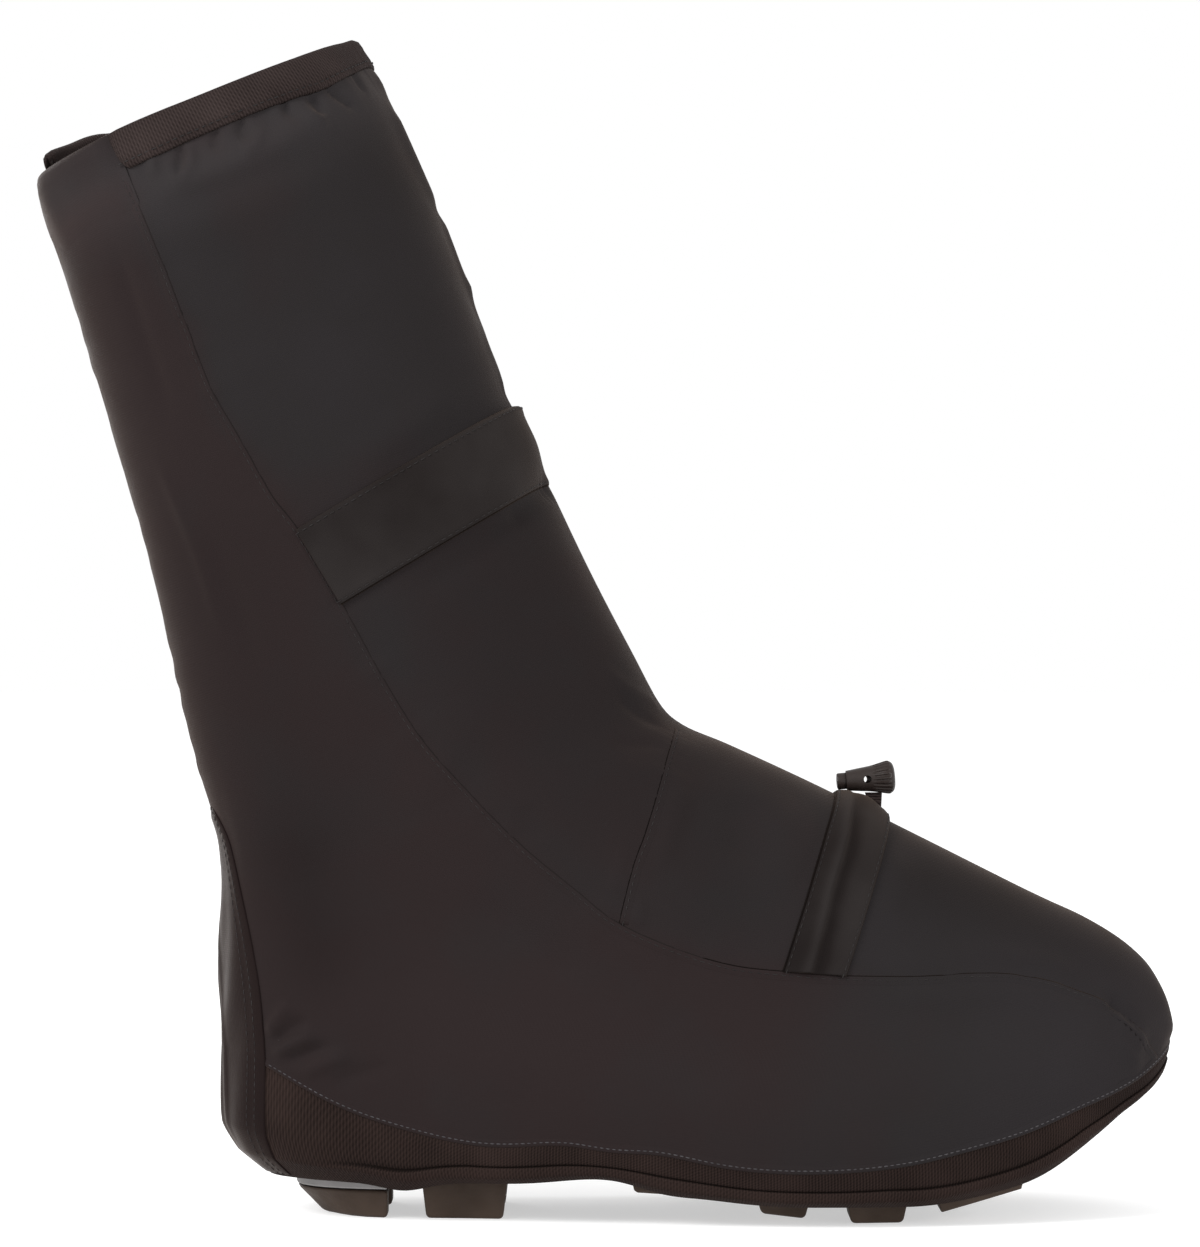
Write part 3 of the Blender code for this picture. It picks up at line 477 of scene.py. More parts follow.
# Name, dark tone, light tone, roughness, grain's scale and height, specular level.
MOULDED = (
    ("lug_rubber", (0.0350, 0.0236, 0.0174), (0.0540, 0.0376, 0.0284), 0.62, 900.0, 0.00006, 0.12),
    ("wedge_foam", (0.20, 0.192, 0.190), (0.26, 0.250, 0.248), 0.70, 700.0, 0.00006, 0.2),
    ("plate_moulding", (0.020, 0.018, 0.018), (0.030, 0.028, 0.028), 0.50, 500.0, 0.00005, 0.2),
    ("lock_moulding", (0.0160, 0.0112, 0.0096), (0.0240, 0.0175, 0.0152), 0.42, 1200.0, 0.00003, 0.2),
    ("insole_felt", (0.026, 0.025, 0.025), (0.040, 0.039, 0.038), 0.90, 1500.0, 0.0001, 0.1),
    ("seam_thread", (0.0110, 0.0092, 0.0091), (0.0180, 0.0156, 0.0155), 0.60, 2500.0, 0.00004, 0.12),
    ("rand_thread", (0.032, 0.029, 0.031), (0.052, 0.048, 0.051), 0.55, 2500.0, 0.00004, 0.15),
)


def make_grosgrain(name, dark, light):
    """Ribbed elastic tape. Its tape value makes it lighter or darker, and on the rand it carries painted shade along
    the groove.
    """
    finish, tree, shader = new_finish(name, **TAPE_SHINE)
    ribs = stripes(tree, "X", RIB_PITCH, RIB_BEND)
    yarn = math_node(tree, "MULTIPLY", stripes(tree, "DIAGONAL", YARN_PITCH, YARN_BEND), YARN_SHARE)
    height = math_node(tree, "ADD", ribs, yarn)
    tape = node(tree, "ShaderNodeAttribute", attribute_name="tape").outputs["Fac"]
    cloud = drift(tree, TAPE_CLOUD_SCALE, TAPE_CLOUD_LOW, TAPE_CLOUD_HIGH)
    # The tone follows the ribs' height: painted shade between the ribs.
    tone = math_node(tree, "ADD", math_node(tree, "MULTIPLY", height, RIB_TONE), cloud)
    tone = math_node(tree, "ADD", tone, tape)
    tree.links.new(blend_colours(tree, tone, dark, light), shader.inputs["Base Color"])
    add_bump(tree, shader, height, RIB_HEIGHT)
    return finish


def make_moulded(name, dark, light, roughness, grain_scale, grain_height, specular):
    """A moulded rubber or plastic with fine grain and a little wear."""
    finish, tree, shader = new_finish(name, Specular_IOR_Level=specular)
    wear = drift(tree, WEAR_SCALE, 0.0, 1.0, WEAR_DETAIL)
    tree.links.new(blend_colours(tree, wear, dark, light), shader.inputs["Base Color"])
    gloss = drift(tree, GLOSS_SCALE, roughness - GLOSS_SPREAD, roughness + GLOSS_SPREAD)
    tree.links.new(gloss, shader.inputs["Roughness"])
    add_bump(tree, shader, drift(tree, grain_scale, 0.0, 1.0, GRAIN_DETAIL), grain_height)
    return finish


rand_grosgrain = make_grosgrain("rand_grosgrain", (0.0050, 0.0029, 0.0024), (0.0216, 0.0134, 0.0114))
collar_grosgrain = make_grosgrain("collar_grosgrain", (0.0105, 0.0070, 0.0065), (0.0330, 0.0238, 0.0222))
lug_rubber, wedge_foam, plate_moulding, lock_moulding, insole_felt, seam_thread, rand_thread = (
    make_moulded(*row) for row in MOULDED
)
print("finishes:", len(bpy.data.materials))

# %% [markdown]
# ## Folds of the shell
# Cloth over a shoe never lies smooth. It puckers under the collar's elastic, breaks where the ankle bends, and is
# drawn into small folds beside the heel seam. Each fold is placed on the side view, in millimetres: a short
# path, how far it reaches to both sides, and its height, with a minus for a trough. A cloth simulation would make
# folds too, but not these ones, in these places.

# %% Folds, placed one by one
# Path, reach and height.
FOLDS = (
    (((-20, 303), (10, 313), (32, 324), (50, 336)), 13.0, 1.6),
    (((-22, 313), (7, 323), (28, 334), (44, 345)), 5.2, 2.6),
    (((-21, 307), (-2, 313), (16, 319), (42, 327)), 5.5, -1.2),
    (((-17, 327), (-16, 319)), 1.8, 1.1),
    (((-9, 331), (-8, 325), (-9, 318)), 1.8, -1.6),
    (((-5, 330), (-5, 323), (-11, 317)), 1.8, 1.4),
    (((3, 335), (2, 327)), 1.7, -1.2),
    (((11, 339), (10, 330)), 1.8, -1.6),
    (((17, 337), (15, 330), (10, 326)), 1.8, 1.4),
    (((23, 344), (25, 337)), 1.7, -1.2),
    (((30, 347), (35, 338)), 1.9, -1.8),
    (((28, 340), (37, 335)), 2.0, 1.4),
    (((34, 350), (39, 346), (46, 342)), 1.9, -1.9),
    (((43, 355), (47, 348)), 1.7, -1.2),
    (((42, 366), (46, 360), (50, 353)), 5.0, 1.4),
    (((57, 339), (66, 319)), 5.0, 1.2),
    (((71, 307), (78, 290)), 4.5, 1.2),
    (((79, 288), (84, 272), (89, 260)), 3.7, 0.7),
    (((106, 222), (120, 194), (136, 164)), 8.0, 0.5),
    (((-50, 311), (-46, 313), (-39, 317), (-32, 321), (-28, 323)), 2.4, -1.8),
    (((301, 44), (300, 52), (297, 62)), 7.0, 1.0),
    (((298, 60), (294, 72), (287, 82), (272, 91)), 8.0, 0.4),
    (((48, 226), (62, 235), (77, 246), (92, 258)), 5.5, -1.1),
    (((38, 228), (59, 241), (80, 259)), 6.1, 1),
    (((57, 190), (74, 200), (90, 213), (103.5, 226)), 4.0, -1.1),
    (((91, 214), (97.5, 220), (103.5, 226)), 4.5, -1.2),
    (((123, 163), (132, 155), (141, 151)), 2.4, -0.8),
    (((120, 170), (129, 163), (136, 159)), 2.6, 0.6),
    (((122, 147), (132, 146), (141, 147)), 2.4, -0.6),
    (((125, 141), (132, 138), (137, 138)), 2.4, 0.5),
    (((146, 138), (144, 128), (141, 118), (138, 106)), 3.4, 1.7),
    (((133, 100), (131, 90)), 2, 1.1),
    (((129, 118), (126, 108), (124, 99)), 2.3, 0.8),
    (((162, 132), (164, 120), (162, 108)), 7.4, -1.8),
    (((190, 128), (190, 119), (186, 109), (181, 99)), 2.8, -1.1),
    (((178, 132), (176, 114), (170, 97)), 5.5, 1.1),
    (((215, 113), (212, 101), (207, 89)), 2.5, 1),
    (((196, 70), (221, 69), (243, 70), (262, 66), (276, 60)), 3.7, 1),
    (((212, 81), (240, 81), (259, 78), (275, 72)), 3.7, 0.6),
    (((278, 55), (285, 49), (290, 43)), 2, 0.8),
    (((275, 68), (282, 63), (288, 56)), 1.9, -1.3),
    (((279, 61), (285, 57), (290, 50)), 1.8, 1.0),
    (((28, 122), (33, 102), (36, 86), (39, 72), (42, 56)), 10.0, -1.9),
    (((17, 56), (21, 62), (25, 67)), 1.9, 1.7),
    (((18, 53), (24, 58), (30, 63)), 1.7, -1.4),
    (((18, 50), (25, 54), (34, 58)), 1.9, 1.8),
    (((20, 47), (29, 51), (39, 55)), 1.7, -1.4),
    (((25, 43), (35, 48), (46, 52)), 2.1, 1.5),
    (((35, 40), (46, 45), (58, 48)), 2.1, -0.9),
    (((80, 160), (71, 142), (65, 123)), 8, 1),
    (((95, 129), (103, 116)), 4.3, -0.8),
    (((80, 105), (95, 88), (117, 73)), 7.4, -1),
    (((65, 80), (80, 56), (102, 41)), 9.2, 1),
    (((132, 69), (150, 50), (156, 35)), 8, -0.8),
    (((187, 63), (205, 47), (211, 32)), 9.2, 0.8),
    (((-31, 304), (-21, 273), (-10, 240)), 3.7, -1.1),
    (((-4, 221), (8, 191), (16, 163)), 4.3, -0.8),
    (((-19, 240), (-3, 203), (5, 175)), 3.1, 0.8),
)
print("folds placed:", len(FOLDS))

# %% [markdown]
# A fold's path is drawn on the side view, so it is first traced onto the shell: for each of its points, the angle and
# level that show there are looked for. The inner side gets the same fold, mirrored.

# %% Paths on the shell
MM = 0.001
CURVE_STEPS, FEWEST_POINTS = 40, 4
FOLD_FADE, FRONT_REACH = 0.3, 0.3
STEPS_IN_REACH, LONGEST_STEP = 4.0, 0.8


def even_path(points, step):
    """Points about a step apart on a smooth curve through given ones."""
    points = np.asarray(points, dtype=float)
    fine = through(points, np.linspace(0.0, len(points) - 1.0, CURVE_STEPS * len(points)))
    run = run_along(fine)
    even = np.linspace(0.0, run[-1], max(FEWEST_POINTS, int(round(run[-1] / step)) + 1))
    return np.stack([np.interp(even, run, fine[:, k]) for k in range(fine.shape[1])], axis=-1)


def trace(points, step, inner=False):
    """Angles and levels on the shell along a path drawn on the side view in millimetres."""
    path = even_path(np.asarray(points, dtype=float) * MM, step)
    angle, level = find_on_side(path[:, 0], path[:, 1])
    return (TURN - angle if inner else angle), level


def run_along(points):
    """Distance from the first of a row of points to each of them."""
    return np.concatenate(([0.0], np.cumsum(np.linalg.norm(np.diff(points, axis=0), axis=-1))))


def nearest(spots, path):
    """For each spot, its distance to a dense path and the number of the path's nearest point."""
    gaps = np.linalg.norm(spots[:, None, :] - path[None, :, :], axis=-1)
    best = gaps.argmin(axis=1)
    return gaps[np.arange(len(spots)), best], best


def fold_ends(angle):
    """A fold's strength along its path: it dies away at its ends, but not where it meets its twin at the front."""
    strength = np.ones(len(angle))
    share = np.linspace(0.0, 1.0, len(angle))
    for end, way in ((angle[0], share), (angle[-1], 1.0 - share)):
        if abs(end - math.pi) >= FRONT_REACH:
            strength = strength * smooth(way / FOLD_FADE)
    return strength


fold_paths = []
for path, reach, height in FOLDS:
    step = min(reach / STEPS_IN_REACH, LONGEST_STEP) * MM
    pair = [trace(path, step, inner) for inner in (False, True)]
    pair = [(shell_point(*lines), fold_ends(lines[0])) for lines in pair]
    fold_paths.append((pair, reach * MM, height * MM))
print("folds on both sides:", 2 * len(fold_paths))

# %% [markdown]
# Sewing gathers the cloth a little, so short waves run away from every seam. They are made from the distance to the
# seam and the run along it, with seeded noise, because hundreds of them would be dull to place by hand. First come
# the seams themselves, also drawn on the side view in millimetres.

# %% Seams, and the gathers beside them
MAIN_SEAM = (
    (-27, 324), (-20, 308), (-11, 286), (0, 257), (10, 239), (19, 223), (28, 211), (41, 189), (53, 167), (65, 148),
    (80, 131), (95, 116), (112, 102), (125, 92), (143, 84), (160, 79), (176, 77), (195, 75.5), (216, 75), (241, 75.5),
    (259, 72.5), (274, 67), (284, 61), (290.5, 53), (294, 47.5),
)
INSTEP_SEAM = ((143.6, 150.4), (141, 142), (138.4, 133), (136, 125), (133.7, 118), (131, 111), (129, 104), (126, 92))
COLLAR_LINE = ((-24, 321), (7, 334), (30, 345), (49, 359))
GATHER_SEED = 7
GATHER_STEP = 0.0012
# Seam, then the gathers' pitch, reach and height.
GATHERED = ((MAIN_SEAM, 4.5, 5.0, 0.5), (INSTEP_SEAM, 4.0, 5.0, 0.42), (COLLAR_LINE, 3.2, 6.0, 0.45))
BACK_ANGLE, BACK_LEVELS, BACK_GATHERS = 0.05, np.linspace(10.6, 16.6, 160), (5.0, 9.0, 0.35)
RIM_ANGLES, RIM_GATHERS = np.linspace(0.5, TURN - 0.5, 600), (6.0, 6.0, 0.45)
NOISE_KNOTS = 4096


def soft_noise(run, pitch, seed):
    """Smooth seeded noise along a run, from -1 to 1."""
    knots = np.random.default_rng(seed).uniform(-1.0, 1.0, NOISE_KNOTS)
    place = run / pitch
    low = place.astype(int)
    share = smooth(place - low)
    return knots[low % NOISE_KNOTS] * (1.0 - share) + knots[(low + 1) % NOISE_KNOTS] * share


gather_paths = [
    (shell_point(*trace(seam, GATHER_STEP, inner)), *sizes) for seam, *sizes in GATHERED for inner in (False, True)
]
gather_paths.append((shell_point(BACK_ANGLE, BACK_LEVELS), *BACK_GATHERS))
gather_paths.append((shell_point(RIM_ANGLES, 0.0), *RIM_GATHERS))
print("gathered seams:", len(gather_paths))

# %% The shell with its folds and gathers
PANEL_SEAT, PANEL_SEAT_END, PANEL_SEAT_REACH = 0.0004, 0.52, 0.12
HEEL_SEAT, HEEL_SEAT_END = 0.0013, 0.42
SEAT_TOP, SEAT_FADE = 11.5, 1.6
RIM_FADE = 0.8
FOLD_BOX, GATHER_BOX, NOISE_START = 2.6, 3.0, 1.0
ANKLE_SIDE = (np.array((1.9,)), np.array((11.0,)))


def from_back(angle):
    """The turn between an angle and the back, on either side."""
    return np.minimum(np.mod(angle, TURN), TURN - np.mod(angle, TURN))


def panel_seat(angle):
    """How far the shell and rand lie in under the heel panel."""
    turn = from_back(angle)
    seat = PANEL_SEAT * smooth((PANEL_SEAT_END - turn) / PANEL_SEAT_REACH)
    return seat + HEEL_SEAT * smooth((HEEL_SEAT_END - turn) / HEEL_SEAT_END)


def close_by(spots, path, margin):
    """Which spots lie in a path's box, grown by a margin."""
    return np.all((spots > path.min(axis=0) - margin) & (spots < path.max(axis=0) + margin), axis=1)


def relief(angle, level):
    """How far folds and gathers lift the shell off the last. It fades out at the rand seam."""
    spots = shell_point(angle, level)
    shape = spots.shape[:-1]
    spots = spots.reshape(-1, 3)
    lift = np.zeros(len(spots))
    for pair, reach, height in fold_paths:
        strength = np.zeros(len(spots))
        for path, ends in pair:
            near = close_by(spots, path, FOLD_BOX * reach)
            if near.any():
                gap, best = nearest(spots[near], path)
                strength[near] = np.maximum(strength[near], hump(gap / reach) * ends[best])
        lift += height * strength
    for number, (path, pitch, reach, height) in enumerate(gather_paths):
        near = close_by(spots, path, GATHER_BOX * reach * MM)
        if near.any():
            gap, best = nearest(spots[near], path)
            waves = soft_noise(run_along(path)[best] + NOISE_START, pitch * MM, GATHER_SEED + number)
            lift[near] += height * MM * np.exp(-gap / (reach * MM)) * waves
    lift = lift.reshape(shape) * smooth(np.broadcast_to(level, shape) / RIM_FADE)
    return lift - panel_seat(angle) * smooth((SEAT_TOP - level) / SEAT_FADE)


def skin(angle, level, offset=0.0):
    """A spot on the folded shell, or a distance outside it."""
    return shell_point(angle, level) + (relief(angle, level) + offset)[..., None] * shell_normal(angle, level)


print("lift at the side of the ankle (mm):", np.round(relief(*ANKLE_SIDE) * 1000, 2))

# %% [markdown]
# ## The upper
# The upper is one dense sheet of quads around the last. The angles are spaced closer along the foot's long sides and
# the levels evenly up the shaft, so that a fold two millimetres wide is still round. The collar's back is cut in two
# flaps: the outer one is lower, and the inner one stands up behind it. Soft zones on the side view make the coat a
# little lighter or darker as painted light and shade, such as a lit band under the collar and shade over the toe's
# top, and the panel ahead of the main seam is greyer than the one behind it.

# %% The collar's edge and the grid over the shell
AROUND = 468
UP = 208
GRID_PULL = 0.15
RISE_START, RISE_REACH = 15.6, 1.4
LEVEL_PROBES, PROBE_ANGLES = 800, (0.6, 1.5, 2.4, math.pi)
# Angle from the back, and the edge's rise in levels.
OUTER_EDGE = (
    (0.00, -0.80), (0.08, -0.55), (0.16, -0.28), (0.28, -0.17), (0.50, -0.13), (0.80, -0.10), (1.05, -0.06),
    (1.30, -0.05), (1.70, -0.07), (2.20, -0.02), (2.70, 0.07), (math.pi, 0.12),
)
INNER_EDGE = (
    (0.00, -0.80), (0.12, -0.70), (0.21, -0.35), (0.27, 0.50), (0.33, 1.05), (0.42, 1.16), (0.60, 1.20), (0.80, 1.24),
    (0.95, 1.10), (1.20, 0.70), (1.60, 0.15), (2.20, -0.02), (2.70, 0.07), (math.pi, 0.12),
)


def edge_rise(table, turn):
    """One side's rise at an angle from the back."""
    table = np.array(table)
    return through(table[:, 1:], np.interp(turn, table[:, 0], np.arange(len(table))))[..., 0]


def collar_rise(angle):
    """How far the collar's edge stands above or below its table row, in levels."""
    turn = np.mod(angle, TURN)
    return np.where(turn < math.pi, edge_rise(OUTER_EDGE, turn), edge_rise(INNER_EDGE, TURN - turn))


def even_levels(count):
    """Levels spaced evenly up the shell's sides and front."""
    levels = np.linspace(0.0, COLLAR, LEVEL_PROBES)
    run = np.zeros(LEVEL_PROBES)
    for angle in PROBE_ANGLES:
        up = run_along(shell_point(angle, levels))
        run += up / up[-1]
    return np.interp(np.linspace(0.0, run[-1], count), run, levels)


def angles_around(count):
    """Angles once around the shell, closer together along its long sides."""
    turn = np.arange(count) * TURN / count
    return turn + GRID_PULL * np.sin(2.0 * turn)


def upper_grid(around, up):
    """Angles and levels of a grid over the whole shell."""
    angle, level = np.meshgrid(angles_around(around), even_levels(up))
    return angle, level + smooth((level - RISE_START) / RISE_REACH) * collar_rise(angle)


print("collar's edge, points:", len(OUTER_EDGE), len(INNER_EDGE))

# %% The coat's tones, and the upper's two faces
LINING_AROUND, LINING_UP = 160, 90
SEAM_BLUR, SEAM_STEP, PAINTED_ZONE_STEP = 0.014, 0.002, 0.004
COLLAR_SHARE, COLLAR_SLOPE, COLLAR_BASE, COLLAR_BLUR = 0.5, 0.41, 0.325, 0.012
BROWN_SHARE, BROWN_TOP, BROWN_FADE, BROWN_FRONT, BROWN_FRONT_FADE = 0.5, 0.245, 0.045, 0.20, 0.06
FOOT_START, FOOT_SHARE, TOE_START, TOE_FADE = 0.15, 0.85, 0.19, 0.09
# Path on the side view, reach, and change of tone: above 0 is painted light, below 0 painted shade.
PAINTED_SHADING_ZONES = (
    (((-44, 312), (-24, 318), (12, 331), (46, 348)), 14, 0.52),
    (((118, 142), (96, 175), (86, 205)), 32, -0.14),
    (((2, 196), (14, 163), (24, 132)), 24, -0.10),
    (((24, 112), (32, 86)), 16, -0.16),
    (((75, 55), (135, 55), (190, 48), (262, 52)), 27, 0.09),
    (((150, 128), (156, 100)), 16, -0.08),
    (((225, 106), (254, 95), (280, 83)), 13, -0.24),
)


def painted_shading(spots):
    """Painted light and shade: how much lighter or darker the coat is made, from soft zones placed on the side view."""
    flat = spots.reshape(-1, 3)[:, (0, 2)]
    change = np.zeros(len(flat))
    for path, reach, gain in PAINTED_SHADING_ZONES:
        gap, _ = nearest(flat, even_path(np.asarray(path, dtype=float) * MM, PAINTED_ZONE_STEP))
        change += gain * hump(gap / (reach * MM))
    return change


def front_panel(spots):
    """0 behind the main seam, 1 in front of it and up to 2 at the toe, from the side view."""
    path = even_path(np.asarray(MAIN_SEAM) * MM, SEAM_STEP)
    flat = spots.reshape(-1, 3)[:, (0, 2)]
    _, best = nearest(flat, path)
    tangent = np.gradient(path, axis=0)[best]
    away = flat - path[best]
    side = tangent[:, 0] * away[:, 1] - tangent[:, 1] * away[:, 0]
    x, z = flat.T
    ahead = smooth(side / np.linalg.norm(tangent, axis=-1) / SEAM_BLUR + 0.5)
    ahead = np.maximum(ahead, COLLAR_SHARE * smooth((z - COLLAR_SLOPE * x - COLLAR_BASE) / COLLAR_BLUR))
    ahead *= 1.0 - BROWN_SHARE * smooth((BROWN_TOP - z) / BROWN_FADE) * smooth((BROWN_FRONT - x) / BROWN_FRONT_FADE)
    ahead = np.maximum(ahead, FOOT_SHARE * smooth((x - FOOT_START) / TOE_FADE))
    return ahead + smooth((x - TOE_START) / TOE_FADE)


def cloth_tones(spots, shift=(0.0, 0.0, 0.0)):
    """The shell's values at spots: the panel, read a shift away from them, and the painted light and shade."""
    return {"panel": front_panel(spots - shift), "painted_light_and_shade": painted_shading(spots)}


def shell_sheet(name, around, up, finish, offset=0.0, inward=False):
    """A sheet over the whole shell, or a distance outside it, that faces out or in."""
    spots = skin(*upper_grid(around, up), offset)
    faces, row, column = (part[:, ::-1] if inward else part for part in grid_faces(up, around, False, True))
    uv = np.stack((lengths_along(spots, True, 1)[column], lengths_along(spots, False, 0)[row]), axis=-1)
    print(name, "quads:", len(faces))
    return add_piece(name, spots, faces, finish, uv, None if inward else cloth_tones(spots), outward=False)


upper_shell = shell_sheet("upper_shell", AROUND, UP, shell_weave)
upper_lining = shell_sheet("upper_lining", LINING_AROUND, LINING_UP, lining_weave, -WALL, inward=True)

# %% [markdown]
# ## Lapped seams
# Where two panels meet, the lower one is turned in and sewn over the other, so the seam is a small step with a row of
# stitches on it. A bump map can't cast the thin shadow that the step has, so each lap is a real strip: a shallow
# section carried along the seam, thick at its edge and running out to nothing. Its edge faces carry painted shadow,
# darker near the toe.
# The inner side's main seam runs on up under the collar's tape.

# %% Laps along the seams
# Distance across the seam and height over the shell, in millimetres.
LAP = (
    (0.55, -0.30), (0.50, 0.00), (0.14, 0.18), (-0.15, 0.26), (-0.90, 0.26), (-1.80, 0.15), (-2.60, 0.02),
    (-3.20, -0.25), (-1.20, -0.45),
)
LAP_EDGE = 2
LAP_FLOOR = 0.02
MAIN_STEP, INSTEP_STEP = 0.0016, 0.0014
BACK_LAP_ANGLE, BACK_LAP_LEVELS = TURN - 0.13, np.linspace(10.5, 16.15, 110)
PANEL_READ = (0.002, 0.0, 0.002)
DARK_SEAM_START = 0.150
RAISED_STEPS = np.arange(6, 0, -1)
SEAM_SIDES = (-1, 1)


def across_path(angle, level):
    """The direction across a path on the shell, to its left when it is seen from outside."""
    spots = shell_point(angle, level)
    tangent = np.gradient(spots, axis=0)
    across = np.cross(shell_normal(angle, level), tangent)
    return across / np.linalg.norm(across, axis=-1, keepdims=True)


def beside(angle, level, across):
    """A path moved sideways on the shell, by metres to its left."""
    return slide(angle, level, across_path(angle, level) * across)


def row_beside(path, across, height):
    """A row of spots beside a path, by metres to its left and over the shell."""
    angle, level = beside(*path, across)
    return skin(angle, np.maximum(level, LAP_FLOOR), height)


def lap(name, path, side, edge_finish):
    """A lapped edge along a path, with its body on one side of it: 1 is left and -1 right."""
    rings = np.stack([row_beside(path, -side * across * MM, height * MM) for across, height in LAP], axis=1)
    piece = loft(name, rings, shell_weave, values=cloth_tones(rings, PANEL_READ))
    for finish in (edge_finish, painted_edge_shadow):
        piece.data.materials.append(finish)
    count = len(piece.data.polygons)
    # The edge faces are painted shade, darker from DARK_SEAM_START on towards the toe.
    in_edge = np.arange(count) % len(LAP) < LAP_EDGE
    at_toe = rings[np.minimum(np.arange(count) // len(LAP), len(rings) - 1), 0, 0] > DARK_SEAM_START
    piece.data.polygons.foreach_set("material_index", (in_edge * (1 + at_toe)).astype(np.int32))
    return piece


main_paths = [trace(MAIN_SEAM, MAIN_STEP, inner) for inner in (False, True)]
main_paths[1] = tuple(np.concatenate((row[0] + (row[0] - row[1]) * RAISED_STEPS, row)) for row in main_paths[1])
instep_half = trace(INSTEP_SEAM, INSTEP_STEP)
instep_path = (
    np.concatenate((instep_half[0][::-1], TURN - instep_half[0])),
    np.concatenate((instep_half[1][::-1], instep_half[1])),
)
main_laps = [
    lap("main_lap_" + name, path, side, painted_seam_shade)
    for name, path, side in zip(("outer", "inner"), main_paths, SEAM_SIDES)
]
instep_lap = lap("instep_lap", instep_path, -1, painted_edge_shadow)
back_path = (np.full_like(BACK_LAP_LEVELS, BACK_LAP_ANGLE), BACK_LAP_LEVELS)
back_lap = lap("back_lap", back_path, -1, painted_seam_shade)
print("laps:", len(main_laps) + 2)

# %% [markdown]
# ## Strap and channel
# A wide strap crosses the shin and a channel for an elastic cord crosses the instep. Both are flat strips that lie on
# the shell and are sewn into the main seam at their ends, so each is built across the shell from side to side. The
# strap's upper edge stands off at the front. The channel is folded once along its length, where the cord runs, and
# bulges under the lock. Their edge walls and the faces just beside them carry painted shadow.

# %% Strips across the front
STRIP_LENGTH = 200
STRIP_SEAT = -0.00028
ROLL_POWER = 2.5


def spread_across(flat_end, count, edge):
    """Even places over a strip's flat part, and closer ones over both its edges."""
    return np.concatenate((-np.array(edge[::-1]), np.linspace(-flat_end, flat_end, count), edge))


def rolled_edge(share, start, reach, least):
    """1 over a strip's flat part, rolling off to the least share at its edges."""
    return least + (1.0 - least) * (1.0 - np.clip((np.abs(share) - start) / reach, 0.0, 1.0) ** ROLL_POWER)


def strip_lines(start, angle, width, across, slant=0.0):
    """Angles and levels of lines along a strip, from its outer sewn end over the front to its inner one."""
    ahead = np.array((math.cos(angle), math.sin(angle)))
    sideways = np.array((-ahead[1], ahead[0]))
    turns = np.linspace(0.0, math.pi / 2.0, STRIP_LENGTH // 2 + 1)
    lines = []
    for share in across:
        begin = np.array(start) + sideways * share * width - ahead * slant * (share + 0.5)
        short, far = 0.0, LENGTH
        for _ in range(HALVINGS):
            middle = (short + far) / 2.0
            spot = begin + ahead * middle
            row = section(find_on_side(spot[0:1], spot[1:2])[1][0])
            short, far = (short, middle) if spot[0] > row["front_x"] else (middle, far)
        run = short * np.sin(turns)
        turn, level = find_on_side(begin[0] + ahead[0] * run, begin[1] + ahead[1] * run)
        turn[-1] = math.pi
        lines.append((np.concatenate((turn, TURN - turn[-2::-1])), np.concatenate((level, level[-2::-1]))))
    return np.array([line[0] for line in lines]), np.array([line[1] for line in lines])


def strip_piece(name, lines, heights, finish, tone_and_painted_light, shaded):
    """A closed strip: its outer face at the given heights over the shell, and its inner face just in the shell.

    Its edge walls carry painted shadow, and so do the shaded rows of faces beside them.
    """
    turn, level = lines
    outer = skin(turn, level, heights)
    inner = skin(turn, level, STRIP_SEAT)
    tone = np.swapaxes(np.concatenate((tone_and_painted_light, tone_and_painted_light[::-1])), 0, 1)
    piece = loft(name, np.swapaxes(np.concatenate((outer, inner[::-1])), 0, 1), finish, values={"tone_and_painted_light": tone})
    piece.data.materials.append(painted_edge_shadow)
    around = np.arange(len(piece.data.polygons)) % (2 * len(turn))
    in_edge = np.isin(around, (len(turn) - 1, 2 * len(turn) - 1, *shaded))
    piece.data.polygons.foreach_set("material_index", in_edge.astype(np.int32))
    return piece


print("points along a strip:", STRIP_LENGTH + 1)

# %% The strap over the shin
STRAP_START, STRAP_SLOPE, STRAP_WIDTH = (0.0340, 0.2005), math.radians(31.0), 0.0270
STRAP_FLAT, STRAP_ROLL, STRAP_LEAST = 0.45, 0.05, 0.15
STRAP_ACROSS = spread_across(STRAP_FLAT, 19, (0.48, 0.495, 0.5))
STRAP_THICKNESS, STRAP_FRONT, STRAP_TONE = 0.0012, 0.75, 0.45
STRAP_RIM, STRAP_RIM_PLACE, STRAP_RIM_REACH = 0.0004, 0.44, 0.05
STRAP_PRESS, STRAP_STAND, STAND_BASE = 0.45, 0.0018, 0.25
STRAP_WAVE, WAVES_ALONG, WAVES_ACROSS = 0.0003, 9.0, 4.0
STRAP_CROWN, CROWN_PLACE, CROWN_REACH = 0.0009, -0.02, 0.24
strap_lines = strip_lines(STRAP_START, STRAP_SLOPE, STRAP_WIDTH, STRAP_ACROSS)
share = STRAP_ACROSS[:, None]
front = hump((strap_lines[0] - math.pi) / STRAP_FRONT)
strap_height = STRAP_THICKNESS + STRAP_RIM * hump((np.abs(share) - STRAP_RIM_PLACE) / STRAP_RIM_REACH)
strap_height = strap_height * (1.0 - STRAP_PRESS * front * smooth(0.5 - share))
strap_height = strap_height + STRAP_STAND * front * (smooth(share + 0.5) - STAND_BASE)
strap_height = strap_height + STRAP_WAVE * front * np.sin(WAVES_ALONG * strap_lines[0] + WAVES_ACROSS * share)
strap_height = strap_height + STRAP_CROWN * front * hump((share - CROWN_PLACE) / CROWN_REACH)
strap = strip_piece(
    "shin_strap", strap_lines, strap_height * rolled_edge(share, STRAP_FLAT, STRAP_ROLL, STRAP_LEAST), strap_weave,
    np.full_like(strap_height, STRAP_TONE), (0, 1))
print("strap points:", len(strap.data.vertices))

